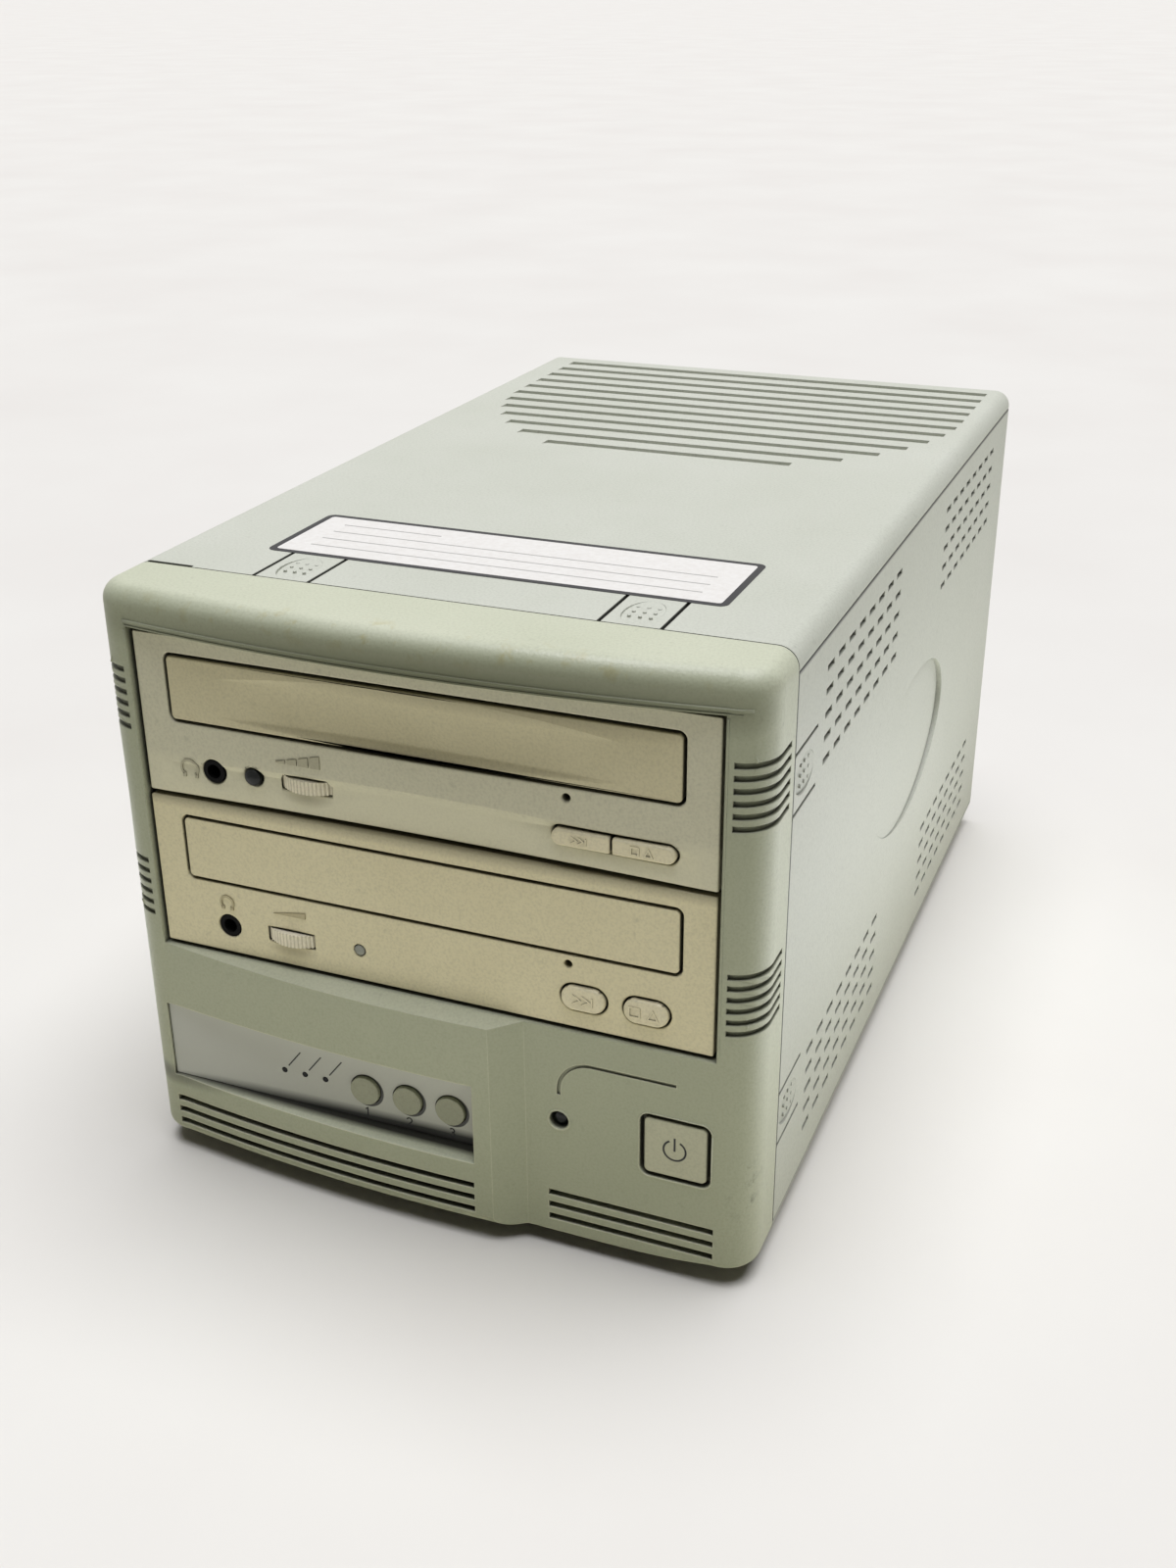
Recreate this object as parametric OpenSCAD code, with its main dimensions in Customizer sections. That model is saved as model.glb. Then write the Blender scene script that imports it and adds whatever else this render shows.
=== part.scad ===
// Two-bay disc duplicator: a moulded desktop case with a reader drive above a writer drive,
// a copy control panel with three keys, a power key, and its supply, fan and copy controller.
// The frame stands at the bottom centre of the feet: +X to the right, -Y to the front, +Z up.

/* [Case] */
// Width across the side panels
case_w = 170; // [168:1:190]
// Depth from the crown of the bezel to the rear rim
case_d = 285; // [280:1:330]
// Height of the case above its feet
case_h = 157; // [156:1:180]
// Height of the rubber feet
foot_h = 5; // [3:0.5:10]
// Radius of a rubber foot
foot_r = 8; // [6:0.5:12]
// Distance of the feet's centres from the case's sides, front and rear
foot_inset = 24; // [20:1:35]
// Wall of the moulded covers
shell_t = 2.5; // [2:0.1:3]
// Open seam between neighbouring mouldings
seam_gap = 0.4; // [0.2:0.1:0.6]
// Roll of the upper edges
top_roll = 5; // [3:0.5:6]
// Roll of the lower edges
low_roll = 3; // [2:0.5:3.5]
// Thickness of the base moulding
base_t = 3.1; // [2.5:0.1:4]
// Sheet thickness of the steel chassis
sheet_t = 1; // [0.8:0.1:1.2]
// How far the rear panel stands in from the rear rim
rear_recess = 5; // [4.5:0.5:8]

/* [Front bezel] */
// Depth of the bezel behind its crown
bezel_d = 24; // [22:1:30]
// Crown of the bowed front ahead of the drive faces
crown = 6; // [4:0.5:8]
// How far the upright pillars stand ahead of the drive faces
pillar_proud = 0.9; // [0.5:0.1:1.5]
// Radius of the upright front corners
corner_r = 9; // [8:0.5:10]
// Height of the control panel under the drive opening
panel_h = 60.5; // [60:0.5:70]
// Gap between the drive faces and the opening's edge
bay_gap = 1; // [0.6:0.1:1.5]
// Where the crowned control pad ends
pad_end = 19; // [17:0.5:24]
// Run of the sloping step at the pad's end
pad_step = 7.5; // [4:0.5:10]
// Fall of the ledge over the pad
ledge_drop = 1.4; // [0.5:0.1:2]
// Height of a pillar groove
groove_h = 1.5; // [1:0.1:2]
// Spacing of the pillar grooves
groove_pitch = 3; // [2.5:0.1:3.5]
// Depth of a pillar groove
groove_depth = 1.1; // [0.6:0.1:1.5]
// Grooves in a group
groove_count = 6; // [3:1:7]
// Height of the first groove of the upper group over the lower drive's foot
groove_high = 74.6; // [65:0.1:78]
// Height of the first groove of the lower group over the lower drive's foot
groove_low = 22.6; // [20:0.1:40]
// Height of a front vent
vent_h = 1.75; // [1:0.05:2.2]
// Spacing of the front vents
vent_pitch = 3.7; // [3:0.1:3.8]
// Fall from the drives to the first front vent
vent_drop = 48.9; // [48:0.1:49.5]

/* [Control panel] */
// Left end of the sunk control window
window_left = -77; // [-78:0.5:-70]
// Right end of the sunk control window
window_right = 14.3; // [13:0.1:16]
// Fall from the drives to the window's upper edge
window_drop = 19.8; // [18:0.1:22]
// Height of the window
window_h = 22.4; // [20:0.1:24]
// Thickness of the overlay in the window
overlay_t = 0.5; // [0.3:0.1:0.8]
// Diameter of a copy key
key_d = 8.1; // [7:0.1:9]
// Spacing of the copy keys
key_pitch = 12.1; // [11.5:0.1:12.5]
// Position of the first copy key
key_x = -18.6; // [-20:0.1:-17]
// Fall from the drives to the keys' centres
key_drop = 32.8; // [31:0.1:34]
// Travel of a copy key
key_travel = 1; // [0.5:0.1:1.5]
// Diameter of a status light
status_d = 1.5; // [1:0.1:2]
// Spacing of the status lights
status_pitch = 6.05; // [5:0.05:7]
// Position of the first status light
status_x = -42.6; // [-44:0.1:-41]
// Edge of the square power key's opening
power_size = 18; // [16:0.5:19]
// Position of the power key
power_x = 65.4; // [64:0.1:66]
// Fall from the drives to the power key's centre
power_drop = 28.2; // [26:0.1:30]
// Travel of the power key
power_travel = 2; // [1:0.1:3]
// Diameter of the power light's hole
lamp_d = 5; // [4:0.1:6]
// Position of the power light
lamp_x = 35.4; // [33:0.1:38]
// Fall from the drives to the power light
lamp_drop = 27.3; // [25:0.1:29]
// Radius of the curved accent line's bend
accent_r = 8.5; // [6:0.5:9]

/* [Covers] */
// Width of the slits beside a latch tongue
slit_w = 1; // [0.6:0.1:1.4]
// Length of a latch tongue
tongue_l = 19; // [15:0.5:22]
// Width of a latch tongue
tongue_w = 15; // [13:0.5:17]
// Length of a side vent slot
slot_l = 6; // [4:0.5:7]
// Height of a side vent slot
slot_h = 1.6; // [1:0.1:2.4]
// Spacing of the side vent slots along the case
slot_pitch = 10; // [9:0.5:11]
// Spacing of the side vent rows
row_pitch = 5.9; // [5:0.1:6.5]
// Long half axis of the dished oval in a side panel
oval_long = 44.5; // [40:0.5:48]
// Short half axis of the dished oval
oval_short = 22.5; // [20:0.5:25]
// Deepest fall of the dished oval
oval_depth = 1.6; // [0.8:0.1:1.8]
// Spacing of the louvres in the top cover
louvre_pitch = 9.95; // [9:0.05:10.5]
// Louvres in the top cover
louvre_count = 12; // [8:1:12]

/* [Drives] */
// Width of a drive face
drive_w = 148; // [147:0.5:149]
// Height of a drive face
drive_face_h = 41.8; // [41:0.1:42.2]
// Spacing of the two drives
drive_pitch = 43; // [42.8:0.1:44]
// Thickness of a drive's face moulding
drive_face_t = 4; // [3.5:0.1:4.5]
// Width of a drive's steel case
drive_case_w = 146; // [145:0.1:146.1]
// Depth of a drive's steel case
drive_case_d = 190; // [188:1:198]
// Width of the tray slot
slot_w = 132; // [131:0.5:134]
// Height of the tray slot
door_slot_h = 17.9; // [17.5:0.1:19]
// Height of the slot's sill above the drive's foot
door_sill = 19.4; // [19:0.1:19.8]
// Gap around the tray door
door_gap = 0.8; // [0.4:0.1:1]
// Depth of the scoop in the upper drive's door and face
scoop_depth = 1.3; // [0.5:0.1:1.6]
// Radius of a volume wheel
wheel_r = 10; // [9.5:0.1:10.5]
// Thickness of a volume wheel
wheel_t = 3.4; // [2.5:0.1:3.6]
// How far a volume wheel stands out of the face
wheel_proud = 1.8; // [1:0.1:2.2]
// Travel of a drive button
button_travel = 0.8; // [0.4:0.1:0.9]
// How far a drive button stands out of the face
button_proud = 1; // [0.4:0.1:1.5]
// Diameter of a headphone socket's bore
jack_bore = 3.6; // [3.5:0.1:3.8]

/* [Tray] */
// Diameter of the disc that the tray takes
disc_d = 120; // [119.5:0.5:120.5]
// Travel of the tray
tray_travel = 130; // [110:1:130]
// Width of the tray
tray_w = 128; // [126:0.5:128.5]
// Thickness of the tray
tray_t = 6; // [5.5:0.1:6]
// Height of the tray's underside over the drive's foot
tray_z = 24; // [23.8:0.1:24.2]
// Running gap between the tray and its rails
run_gap = 0.3; // [0.2:0.05:0.4]
// Module of the loading gear
gear_module = 1; // [0.9:0.1:1.1]
// Teeth of the loading gear
gear_teeth = 16; // [15:1:17]
// Travel of the pickup sled
sled_travel = 34; // [20:1:34]

/* [Cooling and power] */
// Edge of the fan
fan_size = 60; // [60:1:62]
// Thickness of the fan
fan_t = 20; // [18:1:25]
// Spacing of the fan's screws
fan_screw_pitch = 50; // [49:0.5:51]
// Blades of the fan
blade_count = 7; // [5:1:9]
// Height of the fan's axis over the base
fan_height = 104; // [95:1:110]
// Width of the power supply
supply_w = 100; // [90:1:101]
// Depth of the power supply
supply_d = 135; // [110:1:138]
// Height of the power supply
supply_h = 46; // [40:1:47]
// Position of the power inlet
inlet_x = 55; // [54:0.5:56]
// Height of the power inlet over the base
inlet_height = 22; // [18:0.5:30]

/* [Hidden] */
$fn = 64;

LOWER = 0;
UPPER = 1;
BAYS = [LOWER, UPPER];
SIDES = [-1, 1];

case_green = "#A9AD9C";
drive_grey = "#A5A28D";
drive_beige = "#B3AA88";
button_beige = "#C6BD9D";
steel_grey = "#B5B7B8";
board_green = "#2F6B45";
black_plastic = "#222325";

// How far a cutter runs past the face that it cuts
past = 1;
half_w = case_w / 2;
case_top = foot_h + case_h;
case_rear = case_d / 2;
base_top = foot_h + base_t;
face_y = crown - case_d / 2;
bay_z = foot_h + panel_h + bay_gap;
panel_low = foot_h - bay_z;
panel_top = case_top - bay_z;
bay_top = drive_pitch + drive_face_h + bay_gap;
bay_half = drive_w / 2 + bay_gap;
bezel_rear = bezel_d - crown;
cover_front = face_y + bezel_rear + seam_gap;
side_seam = case_top - top_roll - seam_gap;
wall_y = shell_t - pillar_proud;

// Upright corner posts of the bezel and the bow between them
post_x = half_w - corner_r;
post_y = corner_r - pillar_proud;
bow_half = post_x - 1;
bow_sag = crown - pillar_proud;
bow_r = (bow_half * bow_half + bow_sag * bow_sag) / (2 * bow_sag);
bow_end = bow_half + 0.6;

// Machine screws with a low round head
screw_r = 1.4;
screw_l = 4;
head_r = 2.8;
head_h = 1.8;
pilot_r = 1.45;
pass_r = 1.7;
boss_r = 3;
board_t = 1.6;

// Running fit of a shaft in its bore
shaft_r = 1.5;
shaft_gap = 0.05;

// Sunk control window, its overlay and the board behind it
overlay_y = -0.2;
seat_y = overlay_y + overlay_t;
pan_rear = seat_y + shell_t;
pan_edge = 2.5;
key_gap = 0.3;
key_proud = 1;
key_flange = 1.2;
key_stem_r = 2;
key_stem_end = pan_rear + key_gap + key_flange + 2;
switch_gap = 0.2;
switch_t = 2;
switch_half = 3;
panel_board_y = key_stem_end + key_travel + switch_gap + switch_t;
key_last = key_x + 2 * key_pitch;
panel_board_left = status_x - 6.5;
panel_board_right = key_last + key_d / 2 + 2 * boss_r + 1.5;
panel_board_low = -window_drop - window_h;
panel_board_high = 0.5 - window_drop;
panel_screw_inset = boss_r + 1;

// Power key, its switch and the shelf that carries the switch
power_gap = 1.05;
power_corner = 2.5;
power_flange = 1.2;
power_flange_edge = 1;
lamp_depth = 1.8;
power_stem_r = 3;
power_stem_end = wall_y + key_gap + power_flange + 4;
switch_edge = 12;
switch_y = power_stem_end + power_travel + key_gap;
shelf_t = 2;
gusset_t = 1.8;
gusset_x = power_size / 2 + power_flange_edge + 0.6;

// Steel cage around the drives
cage_half = drive_case_w / 2 + 0.2;
cage_front = bezel_rear + 0.6;
cage_rear = drive_face_t + drive_case_d + 2;
cage_flange = 12;
cage_low = base_top - bay_z;
cage_high = drive_pitch + drive_face_h + 2.5;
ear_x = (bay_half + half_w - shell_t) / 2;
ear_heights = [10, 75];
ear_half = 6;
strap_y = 60;
strap_d = 40;
cage_screw_y = [cage_front + 45, cage_rear - 20];

// Drive mechanism, measured from the drive's own foot and face
case_low = 0.3;
drive_floor = case_low + sheet_t;
cover_low = drive_face_h - 0.7 - sheet_t;
case_rear_y = drive_face_t + drive_case_d;
drive_screw_y = [52, 131.5];
drive_screw_z = 10;
disc_y = 68;
disc_r = disc_d / 2 + 0.5;
door_t = 4;
tray_rear = disc_y + 92;
tray_top = tray_z + tray_t;
rail_x = tray_w / 2 + run_gap;
rail_t = 2;
rail_h = 2.2;
rail_lap = 5;
frame_foot = 2.5;
frame_front = drive_face_t + 2;
frame_rear = tray_rear + 20;
frame_edge = drive_case_w / 2 - sheet_t - 0.3;
gear_plate_h = 3.6;
gear_h = 3.4;
gear_lift = 0.6;
gear_z = tray_z - gear_lift - gear_h;
gear_plate_z = gear_z - run_gap - gear_plate_h;
gear_y = 22;
gear_r = gear_module * gear_teeth / 2;
gear_post_r = 2;
rack_pitch_x = 51;
rack_back = 4;
rack_low = tray_z - 3.6;
tooth_high = 0.8 * gear_module;
tooth_deep = 1.1 * gear_module;
tooth_slack = 0.2;
tooth_angle = 20;
gear_x = rack_pitch_x - gear_r;
bridge_half = 10;
bridge_z = tray_top + 4;
bridge_t = 2;
clamp_r = 12.2;
clamp_hole_r = 12.5;
clamp_flange_r = 15;
deck_z = 12;
deck_t = 2;
deck_half = 35;
deck_front = disc_y - 26;
deck_rear = disc_y + 96;
beam_h = 4;
beam_d = 8;
motor_r = 11;
motor_low = 5;
turntable_r = 14;
turntable_z = 18.5;
hub_r = 7.4;
spindle_top = tray_z - 0.7;
rod_x = 24;
rod_z = 17.5;
tab_t = 2.5;
tab_front = disc_y + 14.5;
sled_front = tab_front + tab_t + 2;
sled_l = 26;
tab_rear = sled_front + sled_l + sled_travel + 3;
sled_half = 30;
sled_low = 15;
sled_high = 21;
lens_r = 3.5;
lens_h = 1.6;
pcb_z = drive_floor + 1.5;
pcb_top = pcb_z + board_t;
pcb_half = 62;
pcb_front = drive_face_t + 4;
pcb_rear = case_rear_y - 9;
standoff_y = [40, 170];
standoff_x = 55;
bus_x = [-21, 31];
bus_h = 9;
supply_plug_x = [40, 61];
plug_out = 2;

// Chips on a drive's board: left edge, front edge and size
drive_chips = [[-24, 96, 28], [16, 100, 16]];
drive_chip_h = 2;

// Openings and controls in a drive face
jack_x = -55;
jack_z = 7.6;
jack_r = 3;
jack_gap = 0.2;
lens_x = [-17.75, -43.9];
lens_z = [8.5, 8];
lens_radius = [1.4, 2.3];
lens_gap = 0.2;
wheel_x = [-36.9, -29.7];
wheel_z = 7.9;
wheel_gap = 0.4;
wheel_back = [0, 0.9];
wheel_y = [for (bay = BAYS) wheel_r - wheel_proud + wheel_back[bay]];
knurls = 60;
knurl_depth = 0.35;
pinhole = [37.9, 16.9];
pinhole_r = 1;
button_gap = 0.5;
button_flange = 1.2;
button_stem_end = drive_face_t + 0.3 + button_flange + 2.6;
button_switch_y = button_stem_end + button_travel + switch_gap;
oval_buttons = [[41.8, 8.3], [57.5, 8.3]];
oval_button_w = 12.1;
oval_button_h = 7.4;
pill_left = 33.9;
pill_w = 30.8;
pill_h = 5.2;
pill_z = 7.2;
pill_split = 48.9;
band_top = 11.3;
band_slope = 2.8;
door_corner = 2;

// Rear panel, fan and inlet
panel_rear = case_rear - rear_recess;
panel_front = panel_rear - sheet_t;
rear_half = half_w - shell_t - 0.3;
rear_flange = 9;
fan_z = base_top + fan_height;
fan_front = panel_front - fan_t;
fan_bore_r = fan_size / 2 - 1.5;
fan_base_t = 2.5;
fan_base_r = 16;
fan_hub_r = 15.5;
fan_bush_r = 4;
fan_bush_h = 5;
wire_r = 1;
guard_y = panel_rear + wire_r;
lug_t = 1;
inlet_z = base_top + inlet_height;
inlet_flange_t = 2.5;
inlet_body = [28, 19.5, 21];
inlet_flange = [48, 24];
inlet_pocket = [24.4, 16.8];
inlet_pocket_d = 18;
inlet_screw_x = 20;
blade_l = 11.5;

// Copy controller, supply and flat cables on the base
post_h = 6;
controller_x = 62;
controller_front = face_y + 25;
controller_d = 90;
controller_rear = controller_front + controller_d;
controller_z = base_top + post_h;
controller_inset = 7;
header_depth = 6;
header_h = 8.4;
header_rear = [controller_rear - 14, controller_rear - 2];
supply_left = cage_flange + 0.5 - cage_half;
supply_rear = panel_front - rear_flange - 0.5;
ribbon_t = 1;
ribbon_rise = [6, 3];
ribbon_back = [6, 9];
plug_h = 8;
plug_d = 3;

function square_of(a) = a * a;
function bow_y(x) = bow_r - crown - sqrt(square_of(bow_r) - square_of(x));
function sag_r(half, deep) = (square_of(half) + square_of(deep)) / (2 * deep);
function oval(long, short, steps) = [
    for (i = [0 : steps - 1]) [long * cos(i * 360 / steps), short * sin(i * 360 / steps)]
];

// Moves a piece from the drive-face frame, y from the drive faces and z from the lower drive's foot
module face_frame() {
    translate([0, face_y, bay_z]) children();
}

module drive_frame(bay) {
    translate([0, face_y, bay_z + bay * drive_pitch]) children();
}

// Extrudes an outline drawn in x and z along y
module along_y(from, to) {
    translate([0, to, 0]) rotate([90, 0, 0]) linear_extrude(to - from) children();
}

// Extrudes an outline drawn in y and z along x
module along_x(from, to) {
    translate([from, 0, 0]) rotate([90, 0, 90]) linear_extrude(to - from) children();
}

// A box from its two far corners
module block(low, high) {
    translate(low) cube(high - low);
}

// A rod along y
module rod_y(r, from, to) {
    translate([0, to, 0]) rotate([90, 0, 0]) cylinder(r = r, h = to - from);
}

// A rod along x
module rod_x_dir(r, from, to) {
    translate([from, 0, 0]) rotate([0, 90, 0]) cylinder(r = r, h = to - from);
}

// Turns an outline, x outwards and y up, into a shallow sector of a very wide disc that bows towards -y
module wide_disc(r, deep, half) {
    sweep = 2 * asin(half / r);
    translate([0, r - deep, 0]) rotate([0, 0, -90 - sweep / 2])
        rotate_extrude(angle = sweep, $fn = 256) children();
}

module round_square(w, h, r) {
    square([w - 2 * r, h], center = true);
    square([w, h - 2 * r], center = true);
    for (x = SIDES, y = SIDES) translate([x * (w / 2 - r), y * (h / 2 - r)]) circle(r);
}

module quarter_disc(r) {
    intersection() {
        circle(r);
        square(r);
    }
}

// Half section of a block with rolled outer corners, x outwards and y up
module rolled_section(reach, low, high) {
    translate([0, low + low_roll]) square([reach - top_roll, high - low - low_roll]);
    translate([0, low]) square([reach - low_roll, high - low - top_roll]);
    translate([0, low + low_roll]) square([reach, high - low - low_roll - top_roll]);
    translate([reach - low_roll, low + low_roll]) mirror([0, 1]) quarter_disc(low_roll);
    translate([reach - top_roll, high - top_roll]) quarter_disc(top_roll);
}

// Whole section of the case across its width
module case_section(low, high) {
    rolled_section(half_w, low, high);
    mirror([1, 0]) rolled_section(half_w, low, high);
}

// A dished oval, deep at its +x end and running out at the other, cut into the plane z = 0
module dished_oval(long, short, deep, steps) {
    translate([-long, 0, 0]) rotate([0, asin(deep / (2 * long)), 0]) translate([long, 0, 0])
        linear_extrude(3 * deep) polygon(oval(long, short, steps));
}

// Nine raised grip dots in a square, standing up to a height
module grip_dots(high) {
    for (i = [-1 : 1], j = [-1 : 1]) translate([i * 3, j * 2.6, high - 1.2]) cylinder(r = 0.45, h = 1.2);
}

module screw() {
    cylinder(r = head_r, h = head_h);
    translate([0, 0, -screw_l]) cylinder(r = screw_r, h = screw_l);
}

module bezel_block() {
    for (side = SIDES) translate([side * post_x, post_y, 0])
        rotate_extrude() rolled_section(corner_r, panel_low, panel_top);
    along_x(-post_x, post_x) translate([post_y, 0]) mirror([1, 0])
        rolled_section(corner_r, panel_low, panel_top);
    along_y(post_y, bezel_rear) case_section(panel_low, panel_top);
    intersection() {
        wide_disc(bow_r, crown, 2 * bow_end) rolled_section(bow_r, panel_low, panel_top);
        block([-bow_end, -crown - past, panel_low - past], [bow_end, post_y, panel_top + past]);
    }
}

// Hollow behind the bezel's walls
module bezel_cavity() {
    inner = half_w - shell_t;
    rear = bezel_rear + past;
    translate([0, 0, panel_low + shell_t]) linear_extrude(panel_top - panel_low - 2 * shell_t) {
        for (side = SIDES) translate([side * post_x, post_y]) circle(corner_r - shell_t);
        translate([-post_x, wall_y]) square([2 * post_x, rear - wall_y]);
        translate([-inner, post_y]) square([2 * inner, rear - post_y]);
    }
}

// Flat face to the right of the control pad, cut back from the crown by a sloping step
module flat_face_cut() {
    translate([0, 0, panel_low - past]) linear_extrude(panel_h + past) polygon([
        [pad_end, -crown - past],
        [pad_end, bow_y(pad_end)],
        [pad_end + pad_step, -pillar_proud],
        [half_w + past, -pillar_proud],
        [half_w + past, -crown - past],
    ]);
}

// Sloping ledge between the drives and the control pad
module ledge_cut() {
    slope = ledge_drop / bow_sag;
    along_x(-bay_half, pad_end + pad_step) polygon([
        [-pillar_proud, -bay_gap],
        [-crown - past, -bay_gap - slope * (bow_sag + past)],
        [-crown - past, 0],
        [-pillar_proud, 0],
    ]);
}

// Sunk window of the control pad with a gently falling sill
module window_cut() {
    along_x(window_left, window_right) polygon([
        [-crown - past, -window_drop],
        [seat_y, -window_drop],
        [seat_y, -window_drop - window_h],
        [-crown - past, -window_drop - window_h - 1],
    ]);
}

// Grooves that run round the outer edge of a pillar
module pillar_groove() {
    difference() {
        intersection() {
            translate([post_x, post_y]) circle(corner_r + past);
            translate([post_x + 0.9, -corner_r]) square([corner_r + past, corner_r + post_y]);
        }
        translate([post_x, post_y]) circle(corner_r - groove_depth);
    }
    translate([half_w - groove_depth, post_y]) square([groove_depth + past, bezel_rear - post_y - 3]);
}

module pillar_grooves() {
    for (side = [0, 1], first = [groove_high, groove_low], i = [0 : groove_count - 1])
        mirror([side, 0, 0]) translate([0, 0, first - i * groove_pitch - groove_h / 2])
            linear_extrude(groove_h) pillar_groove();
}

module front_vents() {
    vent_ends = [[window_left, window_right - 0.3], [pad_end + pad_step + 5.8, post_x - 0.6]];
    for (ends = vent_ends, i = [0 : 2])
        block([ends[0], -crown - past, -vent_drop - i * vent_pitch - vent_h],
            [ends[1], wall_y + past, -vent_drop - i * vent_pitch]);
}

// Fine curved line that joins the power light to the power key
module accent_line() {
    w = 0.9;
    deep = 0.6;
    bend_x = lamp_x + accent_r;
    bend_z = 1.5 - window_drop;
    along_y(-pillar_proud - past, deep - pillar_proud) {
        intersection() {
            translate([bend_x, bend_z]) difference() {
                circle(accent_r + w / 2);
                circle(accent_r - w / 2);
            }
            translate([bend_x - 2 * accent_r, bend_z]) square(2 * accent_r);
        }
        translate([bend_x, bend_z + accent_r - w / 2]) square([power_x - bend_x, w]);
        translate([lamp_x - w / 2, bend_z - 1.5]) square([w, 1.5]);
    }
}

module at_keys() {
    for (i = [0 : 2]) translate([key_x + i * key_pitch, 0, -key_drop]) children();
}

module at_status_leds() {
    for (i = [0 : 2]) translate([status_x + i * status_pitch, 0, -key_drop]) children();
}

module at_panel_screws() {
    for (x = [panel_board_left + panel_screw_inset, panel_board_right - panel_screw_inset])
        for (z = [panel_board_low + panel_screw_inset, panel_board_high - panel_screw_inset])
            translate([x, 0, z]) children();
}

module at_bezel_ears() {
    for (side = SIDES, z = ear_heights) translate([side * ear_x, 0, z]) children();
}

// Gussets and shelf inside the bezel that carry the power switch
module switch_shelf() {
    shelf_top = -power_drop - switch_edge / 2;
    translate([power_x, 0, 0]) {
        for (side = SIDES) translate([side * (gusset_x + gusset_t / 2), 0, 0])
            block([-gusset_t / 2, wall_y - past, shelf_top - shelf_t],
                [gusset_t / 2, bezel_rear, -power_drop]);
        block([-gusset_x, switch_y, shelf_top - shelf_t], [gusset_x, bezel_rear, shelf_top]);
    }
}

module front_bezel() {
    color(case_green) face_frame() difference() {
        union() {
            difference() {
                bezel_block();
                bezel_cavity();
            }
            block([window_left - pan_edge, 0, -window_drop - window_h - pan_edge],
                [window_right + pan_edge, pan_rear, pan_edge - window_drop]);
            at_panel_screws() rod_y(boss_r, pan_rear - past, panel_board_y);
            at_bezel_ears() rod_y(boss_r, wall_y - past, cage_front);
            switch_shelf();
        }
        block([-bay_half, -crown - past, -bay_gap], [bay_half, wall_y + past, bay_top]);
        flat_face_cut();
        ledge_cut();
        window_cut();
        pillar_grooves();
        front_vents();
        accent_line();
        at_keys() rod_y(key_d / 2 + key_gap, -crown, pan_rear + past);
        at_status_leds() rod_y(status_d / 2 + 0.1, -crown, pan_rear + past);
        at_panel_screws() rod_y(pilot_r, panel_board_y - screw_l, panel_board_y + past);
        at_bezel_ears() rod_y(pilot_r, cage_front - screw_l, cage_front + past);
        translate([lamp_x, 0, -lamp_drop]) rod_y(lamp_d / 2, -crown, wall_y + past);
        translate([power_x, 0, -power_drop]) along_y(-crown, wall_y + past)
            round_square(power_size, power_size, power_corner);
    }
}

// Outline of a latch tongue's two slits, from the cover's front edge back along x
module tongue_slits() {
    for (side = SIDES) translate([-past, side * tongue_w / 2 - slit_w / 2]) square([tongue_l + past, slit_w]);
}

// Thumb dish of a latch tongue cut into the plane z = 0, deep at the front edge
module tongue_dish() {
    translate([8.7, 0, 0]) mirror([1, 0, 0]) dished_oval(7.7, 4.7, 0.9, 48);
}

module at_top_tongues() {
    for (x = [-43, 46]) translate([x, cover_front, case_top]) rotate([0, 0, 90]) children();
}

module at_side_tongues(side) {
    for (z = [62.4, -27.4]) translate([side * half_w, cover_front, bay_z + z])
        rotate([90, 0, 90]) mirror([0, 0, side < 0 ? 1 : 0]) children();
}

// Stepped louvres across the top cover, shortened to a rounded front end
module louvre_cuts() {
    deep = 0.9;
    ramp = 5;
    last = case_rear - 6;
    full = half_w - 9.5;
    middle = 2.8;
    straight = 42.5;
    round_run = 78;
    for (i = [0 : louvre_count - 1]) {
        y = last - i * louvre_pitch;
        short = max(0, i * louvre_pitch - straight) / round_run;
        half = full * sqrt(1 - square_of(short));
        along_x(middle - half, middle + half) polygon([
            [y, case_top - deep],
            [y, case_top + past],
            [y - ramp, case_top + past],
            [y - ramp, case_top],
        ]);
    }
}

module top_cover() {
    inner = half_w - shell_t;
    notch = [4 - half_w, 17 - half_w];
    color(case_green) {
        difference() {
            along_y(cover_front, case_rear) case_section(foot_h, case_top);
            block([-half_w - past, cover_front - past, 0], [half_w + past, case_rear + past, side_seam]);
            block([-inner, cover_front - past, 0], [inner, case_rear + past, case_top - shell_t]);
            at_top_tongues() translate([0, 0, -shell_t - past])
                linear_extrude(shell_t + 2 * past) tongue_slits();
            at_top_tongues() tongue_dish();
            block([notch[0], cover_front - past, case_top - shell_t - past],
                [notch[1], cover_front + slit_w, case_top + past]);
            louvre_cuts();
        }
        at_top_tongues() translate([9.5, 0, 0]) grip_dots(-0.1);
    }
}

// Four grids of vent slots, drawn with x back from the drive faces and y up from the lower drive
module slot_grids() {
    columns = [46.6, 181.5];
    rows = [81.4, -23.5];
    for (x = columns, y = rows, i = [0 : 7], j = [0 : 4])
        translate([x + i * slot_pitch - slot_l / 2, y - j * row_pitch - slot_h / 2]) square([slot_l, slot_h]);
}

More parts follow.
